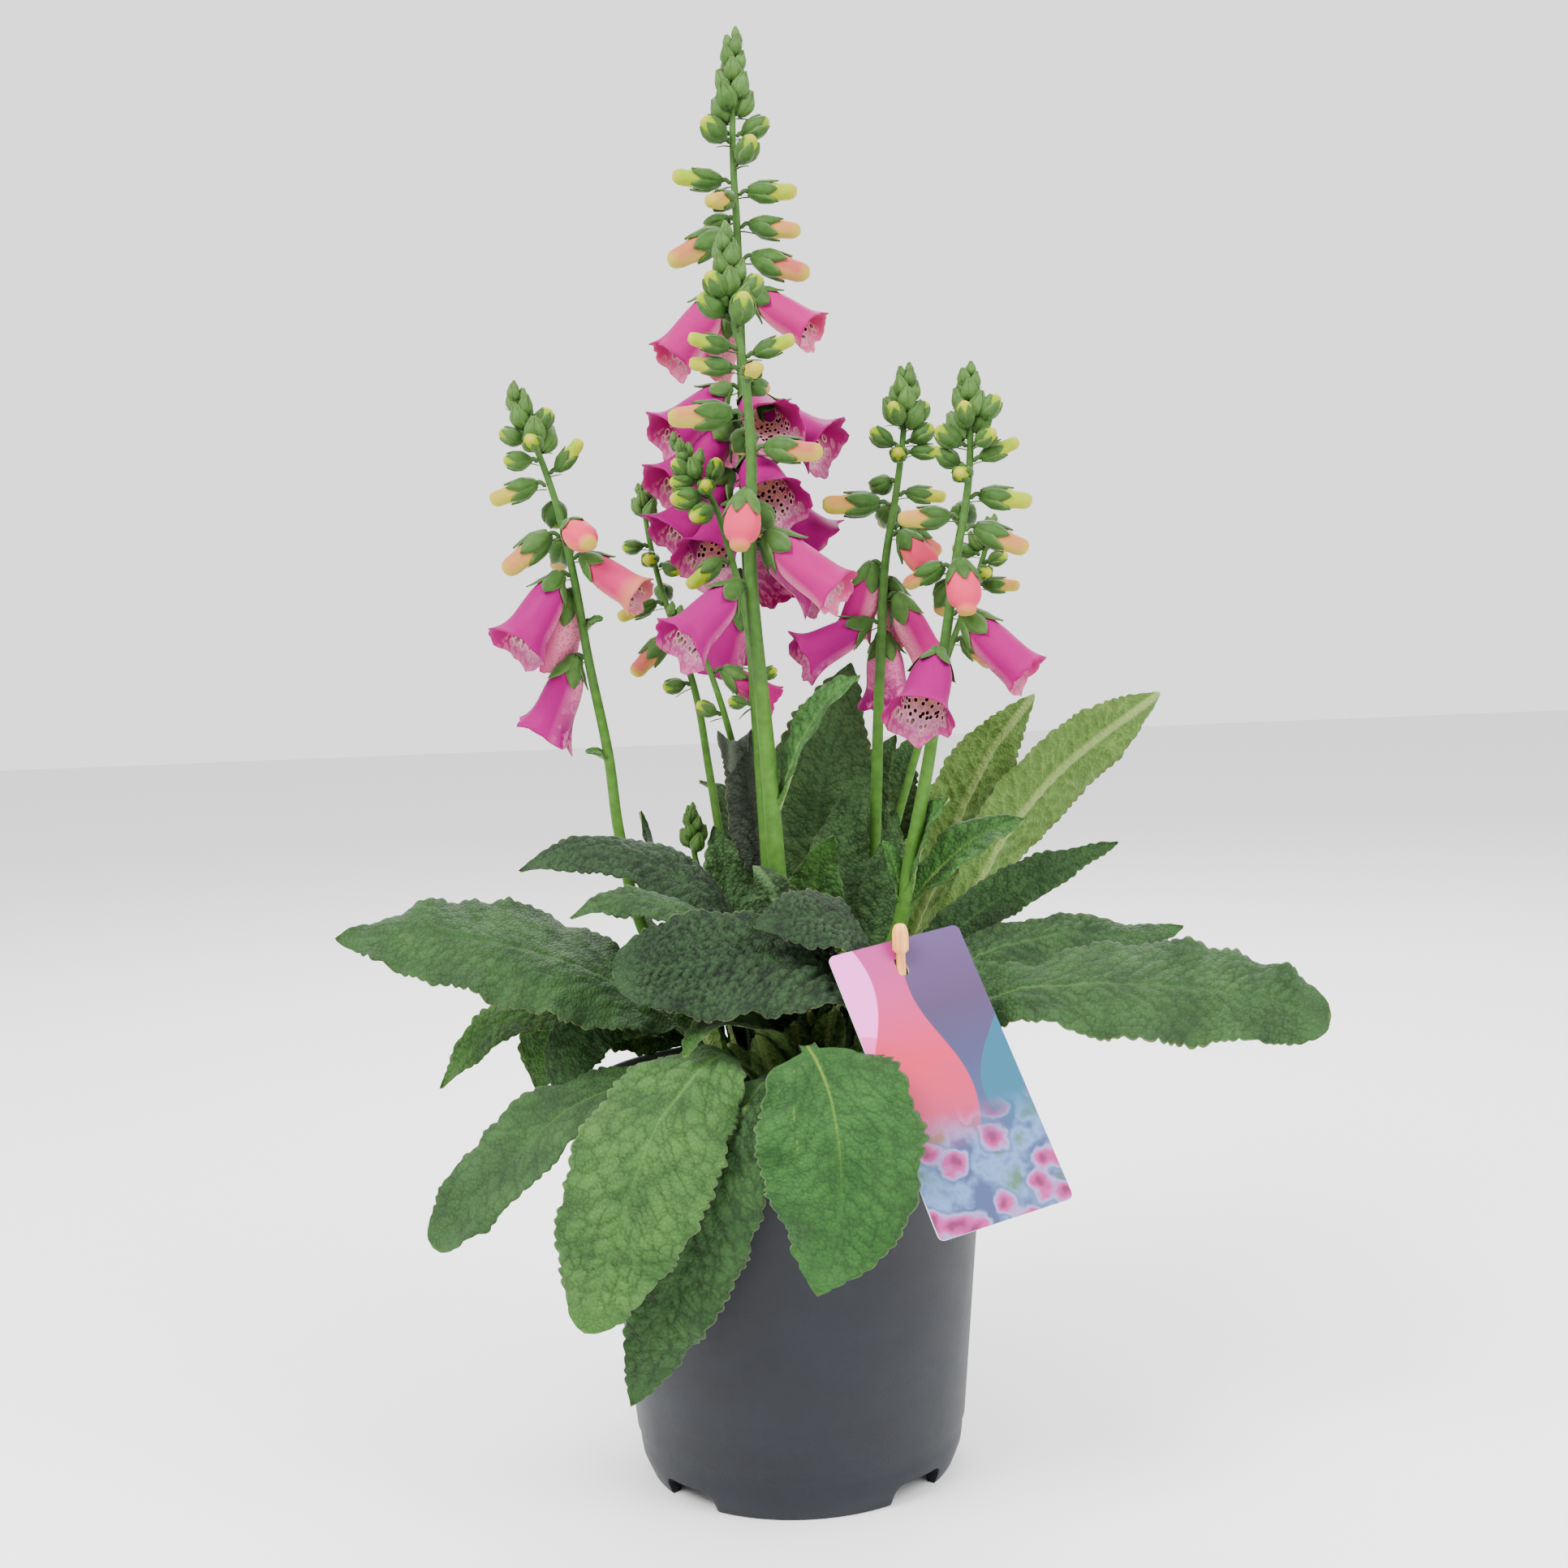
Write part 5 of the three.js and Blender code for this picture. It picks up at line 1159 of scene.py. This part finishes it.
def petal_outside():
    material, shader, add, place, (ripe, along, low) = start_petal("foxglove_petal_outside")
    back = add("ValToRGB", {"Fac": ripe}, stops=[
        (0.0, "#6c8c08"), (0.12, "#889c10"), (0.2, "#ab7c3c"), (0.34, "#a24e44"), (0.5, "#c43450"),
        (0.74, "#98105e"), (0.88, "#86005a"), (1.0, "#82005a")])
    belly = add("ValToRGB", {"Fac": ripe}, stops=[
        (0.0, "#788f0c"), (0.12, "#92a01c"), (0.22, "#a8983a"), (0.34, "#b08f48"), (0.5, "#cc6450"),
        (0.74, "#d0748a"), (0.88, "#cc6c90"), (1.0, "#c86490")])
    blotch = add("TexNoise", {"Vector": place, "Scale": 0.24, "Detail": 3, "Roughness": 0.55})
    # Fine brown specks, 2 mm apart, on the pale side
    specks = add("TexVoronoi", {"Vector": place, "Scale": 0.55}, voronoi_dimensions="2D")
    colour = paint(add, back, {
        "under": (low, 0.5, 0.82), "base": (along, 0.1, 0.45, 0.5, 0), "blotch": (blotch, 0.4, 0.52),
        "near_mouth": (along, 0.4, 0.9), "low_side": (low, 0.42, 0.75), "open": (ripe, 0.8, 0.95),
        "speck": (specks, 0.14, 0.24, 0.65, 0), "pink": (ripe, 0.6, 0.7),
        "closed": (ripe, 0.45, 0.7, 1, 0), "tip": (along, 0.78, 0.94),
    }, {
        "under": belly, "base under": "#bfa04c", "blotch near_mouth low_side open": "#860062",
        "speck under pink": "#7c2c4c", "closed tip": "#a69a30",
    })
    fine = add("TexNoise", {"Vector": place, "Scale": 1.6, "Detail": 3})
    bump = add("Bump", {"Height": fine, "Strength": 0.25, "Distance": 0.0004})
    fill_inputs(shader, {"Base Color": colour, "Normal": bump})
    return material


def petal_inside():
    material, shader, add, place, (ripe, along, low) = start_petal("foxglove_petal_inside")
    wall = add("ValToRGB", {"Fac": ripe}, stops=[(0.3, "#b08f48"), (0.75, "#b03468"), (1.0, "#86005a")])
    blotch = add("TexNoise", {"Vector": place, "Scale": 0.5, "Detail": 3})
    pale_lip = add("ValToRGB", {"Fac": along}, stops=[(0.6, "#ecb494"), (0.85, "#e4a4c4")])
    # Spots 1 to 2 mm across, about 3 mm apart, drawn out along the tube, each in a pale ring
    drawn_out = add("Mapping", {"Vector": place, "Scale": (1, 0.75, 1)})
    dots = add("TexVoronoi", {"Vector": drawn_out, "Scale": 0.33, "Randomness": 0.8}, voronoi_dimensions="2D")
    # The mask named within leaves the edge of the lip in the colour of the wall
    colour = paint(add, wall, {
        "lower": (low, 0.66, 0.9), "within": (along, 0.84, 0.95, 1, 0.15),
        "blotch": (blotch, 0.4, 0.58, 0.7, 1), "spotted": (low, 0.56, 0.66),
        "ring": (dots, 0.36, 0.46, 0.8, 0), "dot": (dots, 0.24, 0.32, 1, 0),
        "near_mouth": (along, 0.25, 0.45),
    }, {
        "lower within blotch": pale_lip, "ring spotted within": "#f8c4c0",
        "dot spotted within near_mouth": "#18030c",
    })
    fill_inputs(shader, {"Base Color": colour})
    return material


# %% Green of stems, sepals and bracts
def stem_finish():
    material, shader, add = start_finish("hairy_stem_green", Roughness=0.55, IOR=1.42, Specular_IOR_Level=0.2,
                                         Sheen_Weight=0.05, Sheen_Roughness=0.4, Subsurface_Weight=0.08,
                                         Subsurface_Scale=0.0015)
    place = add("TexCoord")
    state = add("SeparateXYZ", {"Vector": add("Attribute", attribute_name="green_state")})
    tint, _, across = state.outputs
    ripe_green = add("ValToRGB", {"Fac": tint}, stops=[
        (0.0, "#375626"), (0.3, "#3f6620"), (0.5, "#31501e"), (0.7, "#48692e"), (1.0, "#22381a")])
    mottle = add("TexNoise", {"Vector": place, "Scale": 260, "Detail": 3})
    shade = add("MapRange", {"Value": mottle, "From Min": 0.3, "From Max": 0.7, "To Min": 0.78,
                             "To Max": 1.18})
    tinted = add("VectorMath", {0: ripe_green, "Scale": shade}, operation="SCALE")
    # The pale edge of sepals and bracts is partly the hairs' own pale colour and partly painted sheen
    hair_and_sheen_edged = paint(add, tinted, {"edge": (across, 0.7, 1, 0, 0.5)}, {"edge": "#6f8a4c"})
    grain = add("TexNoise", {"Vector": place, "Scale": 900, "Detail": 2})
    bump = add("Bump", {"Height": grain, "Strength": 0.35, "Distance": 0.0004})
    fill_inputs(shader, {"Base Color": hair_and_sheen_edged, "Normal": bump})
    return material


PETAL_OUTSIDE = petal_outside()
PETAL_INSIDE = petal_inside()
STEM_GREEN = stem_finish()


# %% Rules of growth for one spike
YOUNG_STEM = 2.7
YOUNG_BUD_SCALE = 0.72
STEM_TIP = 1.2
STEM_SIDES = 14
STEM_STEP = 4
STALK_SIDES = 8
PETAL_WALL = 0.45
# A bract is full-grown this far below the tip
BRACT_GROWTH = 160
# Places on the ramp of greens. A stem is yellower below a height of 0.33 m
LOW_STEM_HEIGHT = 0.33
GREENS = {"low_stem": 0.28, "high_stem": 0.1, "stalk": 0.9, "bract": 0.95}
SEPAL_GREENS = {"tight": 0.62, "green": 0.52, "long": 0.5, "blush": 0.55, "opening": 0.55, "bell": 0.55}


def cluster_rows(top, count, span, start, scale):
    """The tight buds at the tip of a spike, small and upright at the top, larger and leaning out below"""
    rows = [("tight", top - 2.5, 0, 88, 0.55 * scale)]
    count = round(count * 1.6)
    for k in range(1, count):
        share = k / (count - 1)
        rows.append(("tight", top - 3.5 - span * share ** 1.1, start + GOLDEN_TURN * k, 82 - 24 * share,
                     (0.62 + 0.62 * share) * scale))
    return rows


def grow_floret(greens, petals, stem, chance, top, order, age, height, direction, pitch, size=1, ripe=None):
    floret = floret_frame(stem, age, height, direction, pitch, size)
    seed = chance.uniform(0, 50)
    if ripe is None:
        ripe = min(1, max(0, AGES[age]["ripe"] + chance.uniform(-0.03, 0.03)))
        if age == "long":
            ripe = 0.08 + 0.26 * order
    leave = floret["root"] + floret["flat"] * 1.5
    foot = floret["foot"]
    arch = leave.lerp(foot, 0.55) + Vector((0, 0, 1.2 * size))
    grow_rod(greens, [leave, arch, foot, foot + floret["ahead"] * 1.2], lambda s: 0.85 + 0.3 * s,
             STALK_SIDES, 8, lambda z: GREENS["stalk"], 0.5)
    sepal_tint = SEPAL_GREENS[age] + chance.uniform(-0.06, 0.06)
    start_angle = chance.uniform(-0.3, 0.3)
    for number in range(SEPAL_COUNT):
        grow_sepal(greens, floret, age, number, start_angle, sepal_tint)
    if age == "tight":
        grow_bud_core(greens, floret, sepal_tint)
    else:
        grow_tube(petals, floret, age, ripe, seed)
    share = min(1, max(0, (top - height) / BRACT_GROWTH))
    length = (7 + 6 * share) * (0.8 if age == "tight" else 1) * size
    rise = (4 - 9 * share) + chance.uniform(-1.5, 1.5)
    grow_bract(greens, floret["root"], floret["flat"], length, 0.6 + 0.8 * share, rise, GREENS["bract"], seed)


def grow_stem_leaf(bm, stem, seed, height, direction, length, rise, width):
    root = at_height(stem, height)
    flat = level_way(direction)
    path = [root + flat * length * share + Vector((0, 0, rise * lift))
            for share, lift in ((0, 0), (0.2, 0.3), (0.6, 0.8), (1, 1))]
    leaf = leaf_shape(width, direction, 40 if flat.x > 0 else -40, 0.25, path, stations=8, stalk=0.15)
    for face in grow_leaf(bm, leaf, seed + height):
        face.material_index = 1


def grow_spike(number, name, thickness, cluster, stem, florets, leaves=()):
    chance = random.Random(100 + number)
    greens = bmesh_with("green_state", "blade", "blade_state")
    petals = bmesh_with("petal", "petal_state")
    grow_rod(greens, stem, lambda s: (thickness + (STEM_TIP - thickness) * s ** 1.5) * 0.9, STEM_SIDES,
             round((stem[-1][2] - stem[0][2]) / STEM_STEP),
             lambda z: GREENS["low_stem" if z < LOW_STEM_HEIGHT else "high_stem"], 0.4)
    long_buds = sorted((row[1] for row in florets if row[0] == "long"), reverse=True)
    bud_scale = YOUNG_BUD_SCALE if thickness < YOUNG_STEM else 1
    for row in [*cluster_rows(*cluster, bud_scale), *florets]:
        order = long_buds.index(row[1]) / max(1, len(long_buds) - 1) if row[0] == "long" else 0
        grow_floret(greens, petals, stem, chance, cluster[0], order, *row)
    for row in leaves:
        grow_stem_leaf(greens, stem, number, *row)
    print(name, "has", len(greens.faces), "green faces and", len(petals.faces), "coloured ones")
    finish_piece(name + "_green", greens, [name], [STEM_GREEN, LEAF_SKINS["stem"]])
    if not petals.faces:
        petals.free()
        return
    bells = finish_piece(name + "_bells", petals, [name], [PETAL_OUTSIDE, PETAL_INSIDE])
    wall = bells.modifiers.new("petal_wall", "SOLIDIFY")
    wall.thickness = PETAL_WALL * MM
    wall.offset = -1
    wall.material_offset = 1
    wall.material_offset_rim = 0


# %% Grow the spikes
for number, (name, spike) in enumerate(SPIKES.items()):
    grow_spike(number, name, **spike)

# %% [markdown]
# ## Label and peg
# The label is a thin plastic-coated card with round corners, hung by a slot on a turned softwood
# peg. The card is laid out flat in its own measures, right and down from its top left corner, cut
# out with its slot and then turned into place. It carries a plain pattern of curved colour fields
# with blurred round petals at its foot.

# %% Card
LABEL = {"width": 58, "length": 116, "thickness": 0.8, "corner": 2.5}
LABEL_SLOT = {"across": 28, "down": 11, "width": 4.6, "length": 7.6, "corner": 1.6}
PEG = {"x": 46, "y": -61, "foot": 140, "slot_height": 220, "neck": 1.8, "stake": 2.6, "head": 3.2,
       "sides": 32}


def round_outline(bm, left, right, top, bottom, corner, segments):
    corners = [bm.verts.new((x, y, 0))
               for x, y in ((left, top), (left, bottom), (right, bottom), (right, top))]
    bm.faces.new(corners)
    bmesh.ops.bevel(bm, geom=corners, offset=corner, offset_type="OFFSET", segments=segments, profile=0.5,
                    affect="VERTICES", material=-1)
    face = bm.faces[:][-1]
    edges = list(face.edges)
    bmesh.ops.delete(bm, geom=[face], context="FACES_ONLY")
    return edges


card_bm = bmesh.new()
outer_edges = round_outline(card_bm, 0, LABEL["width"], 0, -LABEL["length"], LABEL["corner"], 8)
slot_left = LABEL_SLOT["across"] - LABEL_SLOT["width"] / 2
slot_top = -LABEL_SLOT["down"] + LABEL_SLOT["length"] / 2
slot_edges = round_outline(card_bm, slot_left, slot_left + LABEL_SLOT["width"], slot_top,
                           slot_top - LABEL_SLOT["length"], LABEL_SLOT["corner"], 4)
bmesh.ops.triangle_fill(card_bm, use_beauty=True, edges=outer_edges + slot_edges, normal=(0, 0, 1))
bmesh.ops.recalc_face_normals(card_bm, faces=card_bm.faces)
print("card cut with", len(card_bm.faces), "faces")

# %% Hang the card on the peg
rightward = Vector((0.9, 0.4, 0.13)).normalized()
downward = Vector((0.52, -0.34, -0.82))
downward = (downward - rightward * downward.dot(rightward)).normalized()
upward = -downward
outward = rightward.cross(upward)
label_layer = card_bm.verts.layers.float_vector.new("card")
for vert in card_bm.verts:
    right, down = vert.co.x, -vert.co.y
    vert[label_layer] = (right, down, 0)
    flat = rightward * (right - LABEL_SLOT["across"]) + upward * (LABEL_SLOT["down"] - down)
    centre = Vector((PEG["x"], PEG["y"], PEG["slot_height"])) + outward * LABEL["thickness"] / 2
    vert.co = (centre + flat) * MM
for face in card_bm.faces:
    if face.normal.dot(outward) < 0:
        face.normal_flip()


# %% [markdown]
# ## Printed card
# The card is coated board with a soft gloss. Its print is a few flat fields of lilac, pink, coral,
# violet and teal with curved borders, and a blurred bank of round magenta petals at the foot.

# %% Card finishes
def card_finish():
    material, shader, add = start_finish("coated_printed_card", Roughness=0.45, IOR=1.5,
                                         Specular_IOR_Level=0.2)
    place = add("Attribute", attribute_name="card")
    spot = add("SeparateXYZ", {"Vector": place}).outputs
    down = add("MapRange", {"Value": spot["Y"], "From Max": LABEL["length"]})
    pinks = add("ValToRGB", {"Fac": down}, stops=[
        (0.0, "#9c2a75"), (0.2, "#b02468"), (0.42, "#bf0543"), (0.62, "#86325e")])
    violets = add("ValToRGB", {"Fac": down}, stops=[
        (0.0, "#4a3462"), (0.25, "#3d294e"), (0.45, "#313159"), (0.62, "#2d3d67")])
    # The border of each field is bent by a wave. Its row gives the axis that the wave runs along, the
    # pitch, start and kind of the wave, how far it swings and across which axis
    reach = {}
    for field, along, pitch, start, kind, swing, across in (
            ("violet", "Y", 0.075, 0, "SINE", 5, "X"), ("lilac", "Y", 0.048, 0.9, "SINE", -13, "X"),
            ("coral", "X", 0.09, 0, "COSINE", 12, "Y"), ("teal", "Y", 0.055, -2.2, "SINE", 17, "X")):
        bend = add("Math", {0: spot[along], 1: pitch, 2: start}, operation="MULTIPLY_ADD")
        wave = add("Math", {0: bend}, operation=kind)
        reach[field] = add("Math", {0: wave, 1: swing, 2: spot[across]}, operation="MULTIPLY_ADD")
    violet = add("MapRange", {"Value": reach["violet"], "From Min": 31.9, "From Max": 32.48})
    coral = add("MapRange", {"Value": reach["coral"], "From Min": 46, "From Max": 46.6, "To Max": 0.5})
    pink_only = add("Math", {0: coral, 1: violet}, operation="SUBTRACT", use_clamp=True)
    # The bank of petals: the place drifts before the cells are drawn, so that none is quite round
    drift = add("TexNoise", {"Vector": place, "Scale": 0.07, "Detail": 3})
    drifted = add("VectorMath", {0: drift.outputs["Color"], 1: (16, 16, 0), 2: place},
                  operation="MULTIPLY_ADD")
    blur = add("TexVoronoi", {"Vector": drifted, "Scale": 0.065, "Smoothness": 0.5}, feature="SMOOTH_F1",
               voronoi_dimensions="2D")
    petals = add("ValToRGB", {"Fac": blur}, stops=[
        (0.08, "#670646"), (0.24, "#9c2a75"), (0.34, "#7a78a8"), (0.42, "#2d3d67")])
    glow = add("ValToRGB", {"Fac": drift}, stops=[(0.4, "#2d3d67"), (0.52, "#5878a8"), (0.64, "#3c5e47")])
    bank = paint(add, petals, {"between": (blur, 0.36, 0.5)}, {"between": glow})
    printed = paint(add, pinks,
                    {"violet": violet, "lilac": (reach["lilac"], 0.2, 0.6, 1, 0), "coral": pink_only,
                     "teal": (reach["teal"], 57, 57.5), "foot": (down, 0.6, 0.74)},
                    {"violet": violets, "lilac": "#eb71d0", "coral": "#bf0d3c", "teal": "#04536e",
                     "foot": bank})
    fibre = add("TexNoise", {"Vector": place, "Scale": 2.5, "Detail": 3})
    bump = add("Bump", {"Height": fibre, "Strength": 0.05, "Distance": 0.0002})
    fill_inputs(shader, {"Base Color": printed, "Normal": bump})
    return material


def card_back_finish():
    material, shader, add = start_finish("plain_card_back", Roughness=0.5, IOR=1.5)
    fibre = add("TexNoise", {"Vector": add("Attribute", attribute_name="card"), "Scale": 0.6, "Detail": 6})
    tint = add("ValToRGB", {"Fac": fibre}, stops=[(0.3, "#d9d6da"), (0.7, "#e6e4e6")])
    fill_inputs(shader, {"Base Color": tint})
    return material


card = finish_piece("printed_label", card_bm, ["label"], [card_finish(), card_back_finish()])
sheet = card.modifiers.new("card_thickness", "SOLIDIFY")
sheet.thickness = LABEL["thickness"] * MM
sheet.offset = -1
sheet.material_offset = 1
sheet.material_offset_rim = 1
for polygon in card.data.polygons:
    polygon.use_smooth = False

# %% [markdown]
# ## Wooden peg
# The peg is a turned softwood stick with a narrow neck for the card and a blunt pointed head. Wood
# shows fine pale and darker streaks along its length, about a millimetre apart.

# %% Peg
PEG_OUTLINE = [
    (0, PEG["foot"]), (PEG["stake"] * 0.6, PEG["foot"] + 1), (PEG["stake"], PEG["foot"] + 8),
    *((radius, PEG["slot_height"] + above) for radius, above in (
        (PEG["stake"], -8.4), (PEG["stake"] * 0.94, -7.6), (PEG["neck"], -6.5), (PEG["neck"], 5.4),
        (PEG["head"] * 0.85, 6), (PEG["head"], 6.8), (PEG["head"], 12.6), (PEG["head"] * 0.9, 14.8),
        (PEG["head"] * 0.68, 16.3), (PEG["head"] * 0.4, 16.9), (0, 17))),
]


def wood_finish():
    material, shader, add = start_finish("turned_softwood", Roughness=0.58, IOR=1.5)
    drawn_out = add("Mapping", {"Vector": add("TexCoord"), "Scale": (1, 1, 0.07)})
    streaks = add("TexNoise", {"Vector": drawn_out, "Scale": 900, "Detail": 4})
    tint = add("ValToRGB", {"Fac": streaks}, stops=[(0.3, "#d08a44"), (0.5, "#f0a858"), (0.72, "#ffc47c")])
    bump = add("Bump", {"Height": streaks, "Strength": 0.3, "Distance": 0.0003})
    fill_inputs(shader, {"Base Color": tint, "Normal": bump})
    return material


peg_bm = bmesh.new()
spun(peg_bm, PEG_OUTLINE, PEG["sides"], (PEG["x"], PEG["y"]))
finish_piece("turned_peg", peg_bm, ["peg"], [wood_finish()])
